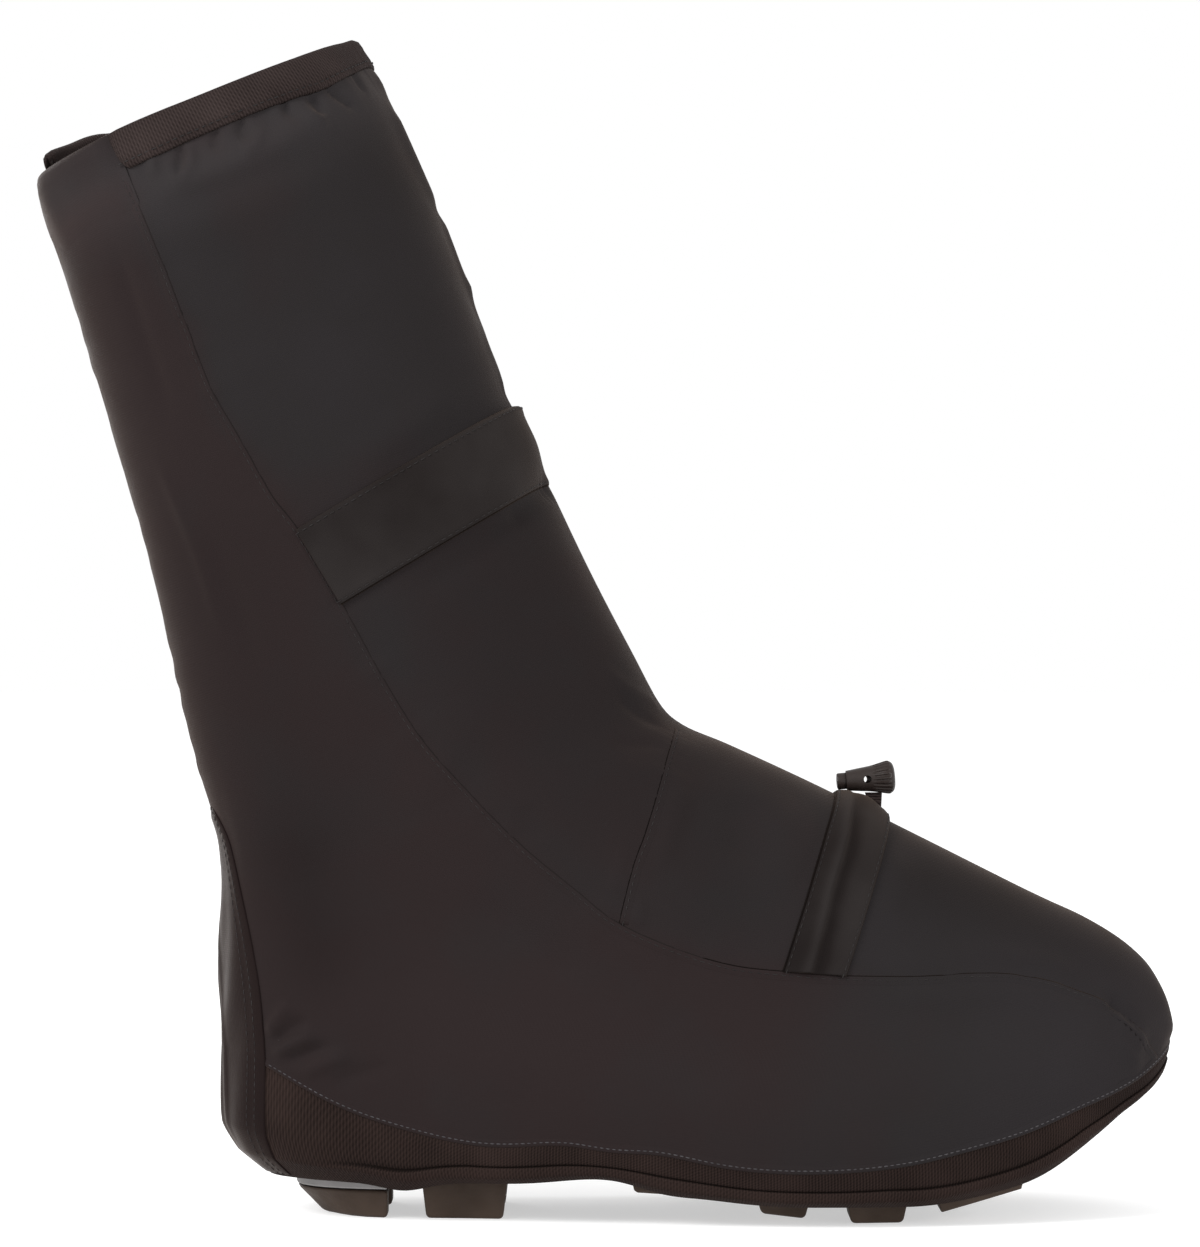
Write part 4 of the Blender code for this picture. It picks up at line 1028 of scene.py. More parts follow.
# %% The channel over the instep
CHANNEL_START, CHANNEL_SLOPE, CHANNEL_WIDTH, CHANNEL_SLANT = (0.1861, 0.0787), math.radians(71.0), 0.0192, 0.0049
CHANNEL_FLAT, CHANNEL_ROLL, CHANNEL_LEAST = 0.44, 0.06, 0.2
CHANNEL_ACROSS = spread_across(CHANNEL_FLAT, 21, (0.47, 0.49, 0.5))
CHANNEL_THICKNESS, CHANNEL_FRONT = 0.0010, 0.40
CHANNEL_RIM, CHANNEL_RIM_PLACE, CHANNEL_RIM_REACH = 0.0003, -0.36, 0.08
CHANNEL_DIP, DIP_PLACE, DIP_REACH = 0.0003, -0.16, 0.10
PLEAT_HEIGHT, PLEAT_FRONT, PLEAT_TURN = 0.0014, 0.30, 0.22
PLEAT_REACH, PLEAT_BACK_REACH, PLEAT_PRESS = 0.13, 0.05, 0.5
BULGE_HEIGHT, BULGE_TURN, BULGE_PLACE, BULGE_REACH = 0.0030, 0.25, -0.02, 0.36
# Size and number of the waves in the pleat's line.
WANDER = ((0.015, 5.0), (0.012, 13.0))
# Painted light and shade along the pleat: change of tone, place and reach, from the pleat's line.
PLEAT_LIGHT_AND_SHADE = ((0.50, 0.03, 0.09), (-0.22, -0.14, 0.10))
CHANNEL_TONE, EDGE_PAINTED_LIGHT, EDGE_LIGHT_START, EDGE_LIGHT_REACH = 0.26, 0.20, -0.20, 0.18
channel_lines = strip_lines(CHANNEL_START, CHANNEL_SLOPE, CHANNEL_WIDTH, CHANNEL_ACROSS, CHANNEL_SLANT)
share = CHANNEL_ACROSS[:, None]
from_front = channel_lines[0] - math.pi
front = hump(from_front / CHANNEL_FRONT)
wander = sum(size * np.sin(number * channel_lines[0]) for size, number in WANDER)
pleat = share - (PLEAT_FRONT - PLEAT_TURN * np.abs(from_front) / np.abs(from_front).max()) + wander
channel_height = CHANNEL_THICKNESS + CHANNEL_RIM * hump((share - CHANNEL_RIM_PLACE) / CHANNEL_RIM_REACH)
pleat_reach = np.where(pleat > 0.0, PLEAT_REACH, PLEAT_BACK_REACH)
channel_height = channel_height + PLEAT_HEIGHT * (1.0 - PLEAT_PRESS * front) * hump(pleat / pleat_reach)
channel_height = channel_height - CHANNEL_DIP * (1.0 - front) * hump((pleat - DIP_PLACE) / DIP_REACH)
bulge = BULGE_HEIGHT * hump(from_front / BULGE_TURN) * hump((share - BULGE_PLACE) / BULGE_REACH)
channel_height = channel_height + bulge
# The channel's tone is painted light and shade: lighter on the pleat, darker in the dip behind it, lighter again beyond
# the dip.
tone_and_painted_light = np.full_like(pleat, CHANNEL_TONE)
for change, place, reach in PLEAT_LIGHT_AND_SHADE:
    tone_and_painted_light = tone_and_painted_light + change * hump((pleat - place) / reach)
tone_and_painted_light = tone_and_painted_light + EDGE_PAINTED_LIGHT * smooth((EDGE_LIGHT_START - pleat) / EDGE_LIGHT_REACH)
channel = strip_piece(
    "cord_channel", channel_lines, channel_height * rolled_edge(share, CHANNEL_FLAT, CHANNEL_ROLL, CHANNEL_LEAST),
    strap_weave, tone_and_painted_light, (0, len(CHANNEL_ACROSS) - 3, len(CHANNEL_ACROSS) - 2))
print("channel points:", len(channel.data.vertices))

# %% [markdown]
# ## Heel panel
# A smoother, glossier panel is sewn over the back of the heel, where the boot rubs. It narrows to a rounded top and
# is a little slack, so light runs down it in long streaks. It is one sheet from the rand's lower edge up.

# %% The rand's surface, which the panel lies on
HEEL_ROUND, ROUND_REACH, ROUND_TOP, ROUND_POWER = 0.0098, 0.6, 0.42, 1.3
TOE_DROP, TOE_DROP_START, TOE_DROP_REACH = 0.0026, 0.280, 0.014
# Middle, reach and depth.
SAGS = ((0.0595, 0.0100, 0.0026), (0.1110, 0.0240, 0.0018), (0.1385, 0.0120, 0.0022), (0.2560, 0.0140, 0.0018))


def foot_outline(angle, inset):
    """Outline of the foot at the rand seam, drawn in by an inset."""
    row = section(0.0)
    along = (1.0 - np.cos(angle)) / 2.0
    x = row["back_x"] + inset + (row["front_x"] - row["back_x"] - 2.0 * inset) * along
    narrow = dict(row, back_w=row["back_w"] - inset, front_w=row["front_w"] - inset)
    return x, last_swing(x) - np.sign(np.sin(angle)) * half_width(along, narrow)


def heel_round(angle, lift):
    """How far the heel's lower corner is drawn in."""
    below = np.clip(1.0 - lift / ROUND_TOP, 0.0, 1.0)
    return HEEL_ROUND * hump(from_back(angle) / ROUND_REACH) * below**ROUND_POWER


def rand_point(angle, lift, inset):
    """A spot on the rand at a share of its height. Its lower edge sags between the lugs and is full at the toe."""
    x, y = foot_outline(angle, inset + heel_round(angle, lift))
    low = sole_line(x) - TOE_DROP * smooth((x - TOE_DROP_START) / TOE_DROP_REACH)
    for middle, reach, depth in SAGS:
        low = low - depth * hump((x - middle) / reach)
    return np.stack((x, y, low + lift * (shell_point(angle, 0.0)[..., 2] - low)), axis=-1)


print("lower edge of the rand at the heel (mm):", np.round(rand_point(0.0, 0.0, 0.0) * 1000, 1))

# %% The heel panel
COUNTER_ANGLE, COUNTER_SHOULDER, COUNTER_TOP = 0.465, 0.080, 0.127
COUNTER_MOST, COUNTER_POWER = 0.985, 3
PANEL_FLAT, PANEL_ROLL, PANEL_LEAST = 0.9, 0.1, 0.15
PANEL_ACROSS = spread_across(PANEL_FLAT, 73, (0.955, 0.985, 1.0))
PANEL_LIFTS = np.append(np.linspace(0.05, 0.95, 30), 1.0)
PANEL_LEVELS = np.concatenate((np.linspace(0.15, 9.4, 78), np.linspace(9.5, 10.72, 24)))
PANEL_SUNK, PANEL_BASE, PANEL_THICKNESS = -0.0003, 0.0004, 0.0003
THIN_START, THIN_REACH, THIN_SHARE = 10.5, 0.22, 0.6
SEAM_RISE, LEVELS_IN_RISE = 0.3, 10.0
PANEL_RIM, PANEL_RIM_PLACE, PANEL_RIM_REACH = 0.0002, 0.92, 0.04
SLACK_LOW, SLACK_LOW_REACH, SLACK_HIGH, SLACK_HIGH_REACH = 0.02, 0.2, 1.2, 0.4
# Turns across the panel, turns up it, and start.
STREAK_HEIGHT, STREAKS = 0.0003, ((5.0, 2.0, 0.0), (11.0, -9.0, 1.0))
# Place across the panel, and move inwards on the way up.
CREASE_HEIGHT, CREASE_REACH, CREASES = 0.0006, 0.05, ((0.44, 0.34), (0.26, 0.24))
# Share of the rand's height, and inset.
PANEL_FOLD = ((0.02, 0.0045), (0.20, 0.0006), (0.50, -0.0003), (1.00, 0.0))


def panel_height(share, rise):
    """Thickness of the heel panel with its turned edge and slack streaks."""
    streaks = STREAK_HEIGHT * sum(np.sin(across * share + up * rise + start) for across, up, start in STREAKS)
    rim = PANEL_RIM * hump((np.abs(share) - PANEL_RIM_PLACE) / PANEL_RIM_REACH)
    slack = smooth((rise - SLACK_LOW) / SLACK_LOW_REACH) * smooth((SLACK_HIGH - rise) / SLACK_HIGH_REACH)
    for place, inwards in CREASES:
        rim = rim + CREASE_HEIGHT * slack * hump((np.abs(share) - place + inwards * rise) / CREASE_REACH)
    thick = PANEL_THICKNESS + rim + streaks * (1.0 - share**2)
    return PANEL_BASE + thick * rolled_edge(share, PANEL_FLAT, PANEL_ROLL, PANEL_LEAST)


panel_rows = []
turns = COUNTER_ANGLE * PANEL_ACROSS
for lift in PANEL_LIFTS:
    inset = np.interp(lift, *np.transpose(PANEL_FOLD)) + panel_seat(turns)
    high = rand_point(turns, lift, inset - panel_height(PANEL_ACROSS, lift * SEAM_RISE))
    panel_rows.append(np.concatenate((high, rand_point(turns, lift, inset - PANEL_SUNK)[::-1])))
for level in PANEL_LEVELS:
    height = shell_point(0.0, level)[2]
    rise = np.clip((height - COUNTER_SHOULDER) / (COUNTER_TOP - COUNTER_SHOULDER), 0.0, COUNTER_MOST)
    turns = COUNTER_ANGLE * (1.0 - rise**COUNTER_POWER) ** (1.0 / COUNTER_POWER) * PANEL_ACROSS
    thick = panel_height(PANEL_ACROSS, SEAM_RISE + level / LEVELS_IN_RISE)
    thick = thick * (1.0 - smooth((level - THIN_START) / THIN_REACH) * THIN_SHARE)
    levels = np.full_like(turns, level)
    panel_rows.append(np.concatenate((skin(turns, levels, thick), skin(turns, levels, PANEL_SUNK)[::-1])))
heel_panel = loft("heel_panel", panel_rows, panel_coat)
print("heel panel points:", len(heel_panel.data.vertices))

# %% [markdown]
# ## Rand
# The rand is elastic tape, sewn to the shell and turned under the foot. A second, narrower tape starts beside the heel
# and runs along its lower part. A groove runs along the tape's upper edge, and the dark line there is painted shade.
# The fold is a short profile carried around the foot's outline, and the shell's turned rim lies over the rand's upper
# edge.

# %% The rand and its second tape
RAND_AROUND = 420
TAPE_HEIGHT, TAPE_MOST, TAPE_THICKNESS = 0.0058, 0.45, 0.0005
TAPE_START, TAPE_START_REACH = 0.028, 0.030
TAPE_EDGE, TAPE_EDGE_REACH, TAPE_FOOT = 1.03, 0.06, 0.5
GROOVE_PLACE, RAND_GROOVE, RAND_GROOVE_REACH = 1.055, 0.0006, 0.035
SLACK_HEIGHT, SLACK_PITCH, SLACK_STEP, SLACK_SEED = 0.0004, 0.011, 0.0016, 31
SLACK_START, SLACK_REACH, SLACK_END, SLACK_END_REACH = 0.2, 0.5, 2.0, 0.3
TOE_TUCK, TOE_TUCK_TURN, TOE_TUCK_REACH = 0.0012, 0.6, 0.5
BACK_WALL_FOOT, BACK_WALL_RISE = 0.15, 0.3
TAPE_TONE, TAPE_TONE_TOP, GROOVE_SHADE, GROOVE_SHADE_REACH = 0.25, 1.02, 0.9, 0.03
HEEL_TONE, HEEL_TONE_END, HEEL_TONE_REACH, RAND_TONE = 0.16, 0.13, 0.08, 0.04
RIM_LEVEL, RIM_START, RIM_STEPS = 0.05, 0.41, 520
# Share of the rand's height, and inset.
RAND_FOLD = ((1.00, 0.0000), (0.75, -0.0003), (0.50, -0.0003), (0.20, 0.0006), (0.02, 0.0045), (0.00, 0.0130))
# Below 1 a row lies on the second tape, and from 1 to 2 above it.
RAND_ROWS = np.array((
    1.99, 1.9, 1.75, 1.6, 1.45, 1.3, 1.18, 1.10, 1.065, 1.045, 1.02, 1.0, 0.97, 0.9, 0.75, 0.6, 0.45, 0.3, 0.18, 0.09,
    0.03, 0.0,
))
# Height along the shell and distance out, in millimetres.
RIM_LAP = (
    (0.3, -0.9), (-0.35, -0.3), (-0.45, 0.10), (-0.15, 0.32), (0.7, 0.34), (1.8, 0.15), (2.8, -0.1), (2.8, -0.9),
)
fold_lifts, fold_insets = np.array(RAND_FOLD[::-1]).T
turns = angles_around(RAND_AROUND)
seam_x, _, seam_z = shell_point(turns, 0.0).T
tape_lifts = np.minimum(TAPE_HEIGHT / (seam_z - sole_line(seam_x)), TAPE_MOST)
tape_start = smooth((seam_x - TAPE_START) / TAPE_START_REACH)
slack = SLACK_HEIGHT * tape_start * soft_noise(np.arange(RAND_AROUND) * SLACK_STEP, SLACK_PITCH, SLACK_SEED)
toe_tuck = TOE_TUCK * hump((turns - math.pi) / TOE_TUCK_TURN)


def row_lift(place):
    """A row's share of the rand's height, and its inset."""
    lift = np.where(place > 1.0, tape_lifts + (place - 1.0) * (1.0 - tape_lifts), place * tape_lifts)
    return lift, np.interp(lift, fold_lifts, fold_insets)


def rim_row(angle, out, up):
    """A row of spots along the rand seam, moved out from the shell and up."""
    return shell_point(angle, 0.0) + shell_normal(angle, RIM_LEVEL) * np.reshape(out, (-1, 1)) + (0.0, 0.0, up)


rand_rings, tape_tone = [], []
for place in RAND_ROWS:
    lift, inset = row_lift(place)
    on_tape = smooth((TAPE_EDGE - place) / TAPE_EDGE_REACH)
    inset = inset - tape_start * TAPE_THICKNESS * on_tape * smooth(place / TAPE_FOOT)
    inset = inset + tape_start * RAND_GROOVE * hump((place - GROOVE_PLACE) / RAND_GROOVE_REACH)
    inset = inset - slack * smooth((place - SLACK_START) / SLACK_REACH) * smooth((SLACK_END - place) / SLACK_END_REACH)
    inset = inset + toe_tuck * smooth((1.0 - lift) / TOE_TUCK_REACH) + panel_seat(turns)
    rand_rings.append(rand_point(turns, lift, inset))
    # Painted shade darkens the groove along the second tape's upper edge.
    tone = TAPE_TONE * (place < TAPE_TONE_TOP) - GROOVE_SHADE * hump((place - GROOVE_PLACE) / GROOVE_SHADE_REACH)
    at_heel = smooth((HEEL_TONE_END - rand_rings[-1][:, 0]) / HEEL_TONE_REACH)
    tape_tone.append(tone * tape_start + HEEL_TONE * at_heel - RAND_TONE)
for place in RAND_ROWS[::-1]:
    lift, inset = row_lift(place)
    back = rand_point(turns, lift, inset + WALL * smooth(lift / BACK_WALL_FOOT))
    back[:, 2] += WALL * (1.0 - smooth(lift / BACK_WALL_RISE))
    rand_rings.append(back)
    tape_tone.append(np.zeros(RAND_AROUND))
rand_band = loft(
    "rand_band", np.stack(rand_rings, axis=1), rand_grosgrain, True, {"tape": np.stack(tape_tone, axis=1)})
rim = np.linspace(RIM_START, TURN - RIM_START, RIM_STEPS)
rim_rings = np.stack([rim_row(rim, out * MM - panel_seat(rim), up * MM) for up, out in RIM_LAP], axis=1)
rim_lap = loft("rim_lap", rim_rings, shell_weave, values=cloth_tones(rim_rings))
print("rand points:", len(rand_band.data.vertices))

# %% [markdown]
# ## Collar
# The collar is bound with the same ribbed elastic, folded over the edge. At the back of the outer side the binding
# stops and the flap has a plain rolled hem. Both are closed sections that follow the collar's edge.

# %% Binding and rear hem
BINDING_HEIGHT = 0.0078
BINDING_START, BINDING_END = 1.085, TURN - 0.33
BINDING_STEPS, BINDING_CORNER, BINDING_LEAST, BINDING_MORE = 420, 0.055, 0.45, 0.55
SWELL_HEIGHT, SWELL_PITCH, SWELL_STEP, SWELL_SEED = 0.0003, 0.006, 0.0008, 5
SWELL_LEVEL = 16.8
EDGE_PROBE = 0.1
HEM_HEIGHT, HEM_START, HEM_OVERLAP, HEM_STEPS = 0.0090, 0.06, 0.03, 140
HEM_LEAST, HEM_MORE, HEM_FULL_START, HEM_FULL_REACH = 0.06, 0.94, 0.10, 0.40
HEM_DROP, HEM_DROP_START, HEM_DROP_REACH = 0.75, 0.98, 0.10
HEM_WAVE, HEM_PITCH, HEM_STEP, HEM_SEED = 0.10, 0.012, 0.0005, 17
# Share of the height below the edge, and distance out.
BINDING = (
    (1.00, 0.0000), (0.96, 0.0011), (0.75, 0.0014), (0.40, 0.0014), (0.10, 0.0013), (-0.06, 0.0008), (-0.14, -0.0009),
    (-0.06, -0.0026), (0.10, -0.0031), (0.40, -0.0032), (0.75, -0.0032), (0.96, -0.0029), (1.00, -0.0018),
    (0.50, -0.0009),
)
HEM = (
    (1.55, -0.0005), (1.40, 0.0000), (1.18, 0.0005), (0.96, 0.0012), (0.74, 0.0021), (0.46, 0.0028), (0.18, 0.0024),
    (-0.03, 0.0011), (-0.10, -0.0008), (-0.05, -0.0022), (0.20, -0.0028), (0.70, -0.0028), (1.00, -0.0022),
    (1.25, -0.0010),
)


def along_collar(angle, profile, height, fullness=1.0):
    """Closed sections of a profile over the collar's edge."""
    top = COLLAR + collar_rise(angle)
    step = shell_point(angle, top) - shell_point(angle, top - EDGE_PROBE)
    speed = np.linalg.norm(step, axis=-1) / EDGE_PROBE
    up = step / np.linalg.norm(step, axis=-1, keepdims=True)
    rings = []
    for below, out in profile:
        level = np.minimum(top, top - below * height / speed)
        spots = skin(angle, level, np.full(angle.shape, out) * (fullness if out > 0.0 else 1.0))
        rings.append(spots + up * np.maximum(-below * height, 0.0)[:, None])
    return np.stack(rings, axis=1)


angles = np.linspace(BINDING_START, BINDING_END, BINDING_STEPS)
swell = SWELL_HEIGHT * soft_noise(np.arange(BINDING_STEPS) * SWELL_STEP, SWELL_PITCH, SWELL_SEED)
corner = np.clip(np.minimum(angles - BINDING_START, BINDING_END - angles) / BINDING_CORNER, 0.0, 1.0)
binding_heights = BINDING_HEIGHT * (BINDING_LEAST + BINDING_MORE * np.sqrt(1.0 - (1.0 - corner) ** 2))
binding_sections = along_collar(angles, BINDING, binding_heights)
binding_sections[:, 1:5] += (swell[:, None] * shell_normal(angles, SWELL_LEVEL))[:, None, :]
collar_tape = loft("collar_tape", binding_sections, collar_grosgrain)
angles = np.linspace(HEM_START, BINDING_START + HEM_OVERLAP, HEM_STEPS)
hem_heights = HEM_HEIGHT * (1.0 + HEM_WAVE * soft_noise(np.arange(HEM_STEPS) * HEM_STEP, HEM_PITCH, HEM_SEED))
hem_drop = 1.0 - HEM_DROP * smooth((angles - HEM_DROP_START) / HEM_DROP_REACH)
hem_fullness = HEM_LEAST + HEM_MORE * smooth((angles - HEM_FULL_START) / HEM_FULL_REACH) * hem_drop
hem_rings = along_collar(angles, HEM, hem_heights, hem_fullness)
rear_hem = loft("rear_hem", hem_rings, shell_weave, values=cloth_tones(hem_rings))
print("binding points:", len(collar_tape.data.vertices))

# %% [markdown]
# ## Sole
# Under the rand lie the plate, a pale wedge at the heel and the rubber lugs. Their solids already have the right
# shape, but with sharp edges. A copy of each gets its loose triangles merged and its edges rounded by a Bevel
# modifier, the way moulded rubber is never sharp.

# %% Rounded copies of the sole's solids
HEEL_LINE, HEEL_SQUEEZE = -0.098, 0.5
MERGE_GAP, FLAT_ANGLE = 0.00001, math.radians(2.0)
BEVEL_STEPS, BEVEL_ANGLE = 3, math.radians(25.0)
LUG_KIND = (lug_rubber, 0.0012, "rubber")
# Finish, rounding of the edges, and slot of the pieces that aren't lugs.
SOLE_KINDS = {
    "heel_wedge": (wedge_foam, 0.0006, "pale_foam"),
    "sole_plate": (plate_moulding, 0.0006, "plate_plastic"),
    "insole": (insole_felt, 0.0006, "insole_foam"),
}


def rounded_copy(name, finish, width):
    """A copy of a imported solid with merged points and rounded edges."""
    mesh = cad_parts[name].data.copy()
    with shaping(mesh) as shaper:
        bmesh.ops.remove_doubles(shaper, verts=shaper.verts, dist=MERGE_GAP)
        bmesh.ops.dissolve_limit(shaper, angle_limit=FLAT_ANGLE, verts=shaper.verts, edges=shaper.edges)
        for corner in shaper.verts:
            corner.co.x += max(HEEL_LINE - corner.co.x, 0.0) * HEEL_SQUEEZE
    mesh.materials.clear()
    mesh.materials.append(finish)
    mesh.shade_smooth()
    piece = new_object(name + "_rounded", mesh)
    soften = piece.modifiers.new("rounded edges", "BEVEL")
    soften.width = width
    soften.segments = BEVEL_STEPS
    soften.limit_method = "ANGLE"
    soften.angle_limit = BEVEL_ANGLE
    even = piece.modifiers.new("even shading", "WEIGHTED_NORMAL")
    even.keep_sharp = False
    return piece


sole_names = [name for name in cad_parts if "lug" in name] + list(SOLE_KINDS)
sole_pieces = {name: rounded_copy(name, *SOLE_KINDS.get(name, LUG_KIND)[:2]) for name in sole_names}
print("sole pieces:", len(sole_pieces))

# %% [markdown]
# ## Cord lock
# The lock is a small moulded barrel with a sprung button: press the button in, the holes line up, and the cord
# slides. The barrel is turned from a profile, with grooves along its wide end for grip and a sleeve at its mouth that
# the button slides in. A Boolean drills the cord's hole through both.

# %% Turned lock pieces
LOCK_TILT = math.radians(85.0)
BUTTON_LENGTH, BUTTON_TRAVEL, BUTTON_RADIUS = 0.0035, 0.0025, 0.0026
STEM_RADIUS, STEM_LENGTH = 0.0020, 0.0090
BARREL_START = BUTTON_LENGTH + BUTTON_TRAVEL + 0.0003
BARREL_LENGTH, MOUTH_RADIUS, END_RADIUS = 0.0122, 0.0036, 0.0052
BORE_RADIUS, BORE_DEPTH = STEM_RADIUS + 0.0003, 0.0098
SLEEVE_START, SLEEVE_BORE, SLEEVE_RADIUS = BUTTON_LENGTH - 0.0004, BUTTON_RADIUS + 0.0002, 0.0032
HOLE_RADIUS, HOLE_PLACE = 0.0012, 0.0034
GROOVES, GROOVE_DEPTH, GROOVE_RUN_IN, GROOVE_RUN_OUT = 22, 0.00035, 0.0012, 0.0008
LOCK_STEPS = 132
PROFILE_STEP = 0.0004
GROOVE_EDGE, GROOVE_EDGE_REACH = 0.1, 0.5
DRILL_STEPS, DRILL_LENGTH, SHARP_ANGLE = 28, 0.03, math.radians(40.0)


def turned(name, profile, finish, grooves=None):
    """A turned body from radius and height rows. Grooves are a start and end height, cut along the axis."""
    profile = even_path(profile, PROFILE_STEP) if grooves else np.array(profile)
    turns = np.arange(LOCK_STEPS) * TURN / LOCK_STEPS
    rings = []
    for radius, height in profile[1:-1]:
        cut = np.zeros(LOCK_STEPS)
        if grooves and radius > MOUTH_RADIUS:
            depth = smooth((height - grooves[0]) / GROOVE_RUN_IN) * smooth((grooves[1] - height) / GROOVE_RUN_OUT)
            cut = GROOVE_DEPTH * depth * smooth((np.cos(turns * GROOVES) - GROOVE_EDGE) / GROOVE_EDGE_REACH)
        out = radius - cut
        rings.append(np.stack((out * np.cos(turns), out * np.sin(turns), np.full(LOCK_STEPS, height)), axis=-1))
    rings = np.array(rings)
    faces = grid_faces(len(rings), LOCK_STEPS, False, True)[0].tolist()
    faces += [list(range(LOCK_STEPS)), list(range((len(rings) - 1) * LOCK_STEPS, len(rings) * LOCK_STEPS))]
    place = np.array(Matrix.Rotation(LOCK_TILT, 3, "Y"))
    return add_piece(name, rings.reshape(-1, 3) @ place.T + LOCK_PLACE, faces, finish)


def drill(piece, height):
    """Cut the cord's hole across a lock piece, and make the result a plain mesh."""
    mesh = bpy.data.meshes.new("cord_drill")
    middle = Matrix.Rotation(LOCK_TILT, 3, "Y") @ Vector((0.0, 0.0, height)) + Vector(LOCK_PLACE + SHIFT)
    with shaping(mesh) as shaper:
        bmesh.ops.create_cone(
            shaper, cap_ends=True, segments=DRILL_STEPS, radius1=HOLE_RADIUS, radius2=HOLE_RADIUS, depth=DRILL_LENGTH)
        bmesh.ops.rotate(shaper, verts=shaper.verts, matrix=Matrix.Rotation(math.pi / 2.0, 3, "X"))
        bmesh.ops.translate(shaper, verts=shaper.verts, vec=middle)
    tool = new_object("cord_drill", mesh)
    cut = piece.modifiers.new("cord hole", "BOOLEAN")
    cut.object = tool
    cut.solver = "EXACT"
    plain = plain_mesh(piece)
    piece.modifiers.clear()
    piece.data = plain
    plain.set_sharp_from_angle(angle=SHARP_ANGLE)
    bpy.data.objects.remove(tool)


print("lock length (mm):", round((BARREL_START + BARREL_LENGTH) * 1000, 1))

# %% Barrel and button
grow = END_RADIUS - MOUTH_RADIUS
bore_end = BARREL_START + BORE_DEPTH
lock_barrel = turned("lock_barrel", (
    (0.0, bore_end), (BORE_RADIUS, bore_end), (BORE_RADIUS, BARREL_START + BORE_DEPTH * 0.5),
    (BORE_RADIUS, BARREL_START), (SLEEVE_BORE, BARREL_START), (SLEEVE_BORE, BARREL_START - 0.0010),
    (SLEEVE_BORE, SLEEVE_START + 0.0004), (SLEEVE_BORE, SLEEVE_START), (SLEEVE_RADIUS, SLEEVE_START),
    (SLEEVE_RADIUS, SLEEVE_START + 0.0004), (MOUTH_RADIUS, BARREL_START + 0.0004),
    (MOUTH_RADIUS + grow * 0.35, BARREL_START + BARREL_LENGTH * 0.40),
    (END_RADIUS, BARREL_START + BARREL_LENGTH * 0.78),
    (END_RADIUS * 0.97, BARREL_START + BARREL_LENGTH * 0.87), (END_RADIUS * 0.82, BARREL_START + BARREL_LENGTH * 0.95),
    (END_RADIUS * 0.50, BARREL_START + BARREL_LENGTH - 0.0001), (0.0, BARREL_START + BARREL_LENGTH),
), lock_moulding, (BARREL_START + 0.0050, BARREL_START + BARREL_LENGTH * 0.90))
lock_button = turned("lock_button", (
    (0.0, 0.0), (BUTTON_RADIUS * 0.45, 0.0001), (BUTTON_RADIUS * 0.75, 0.0), (BUTTON_RADIUS * 0.93, 0.0002),
    (BUTTON_RADIUS, 0.0006), (BUTTON_RADIUS, BUTTON_LENGTH - 0.0003), (BUTTON_RADIUS - 0.0002, BUTTON_LENGTH),
    (STEM_RADIUS, BUTTON_LENGTH), (STEM_RADIUS, BUTTON_LENGTH + STEM_LENGTH), (0.0, BUTTON_LENGTH + STEM_LENGTH),
), lock_moulding)
drill(lock_barrel, BARREL_START + HOLE_PLACE)
drill(lock_button, BARREL_START + HOLE_PLACE - BUTTON_TRAVEL * 0.5)
print("lock faces:", len(lock_barrel.data.polygons), len(lock_button.data.polygons))

# %% The ribbed tab that holds the lock
tab_low, tab_high = (np.array(corner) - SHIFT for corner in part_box("cord_tab"))
TAB_RIBS, TAB_RIB_HEIGHT, TAB_LEAN = 6, 0.00018, 0.0012
TAB_STEPS, TAB_CORNERS = 40, 24
TAB_FOOT, TAB_GROW, TAB_ROUND = 0.42, 0.50, 0.5
tab_middle, tab_half = (tab_low + tab_high) / 2.0, (tab_high - tab_low) / 2.0
turns = np.linspace(0.0, TURN, TAB_CORNERS, endpoint=False)
square_x, square_y = (np.sign(wave) * np.abs(wave) ** TAB_ROUND for wave in (np.cos(turns), np.sin(turns)))
tab_sections = []
for share in np.linspace(0.0, 1.0, TAB_STEPS):
    wide = tab_half[0] * (TAB_FOOT + TAB_GROW * share)
    thick = tab_half[1] + TAB_RIB_HEIGHT * math.cos(TURN * TAB_RIBS * share)
    x = tab_middle[0] + (1.0 - share) * TAB_LEAN + wide * square_x
    y = tab_middle[1] + thick * square_y
    height = tab_low[2] + (tab_high[2] - tab_low[2]) * share
    tab_sections.append(np.stack((x, y, np.full(TAB_CORNERS, height)), axis=-1))
lock_tab = loft("lock_tab", tab_sections, collar_grosgrain)
print("tab box (mm):", np.round(tab_low * 1000, 1), np.round(tab_high * 1000, 1))

# %% [markdown]
# ## Stitches
# Rows of stitches follow every seam. Each stitch is a short thread, half sunk in the cloth. Geometry Nodes suit this:
# the rows go in as plain lines, the tree spaces points along them, and puts one small thread on each, turned along
# the line. The tree ends in real mesh, so the export keeps it.

# %% A tree that sews along lines
STITCH_INPUTS = ("Spacing", "Stitch Length", "Thread Radius")
THREAD_SEGMENTS, THREAD_RINGS = 6, 5
LENGTH_SEED, SHORTEST, LONGEST = 11, 0.86, 1.08


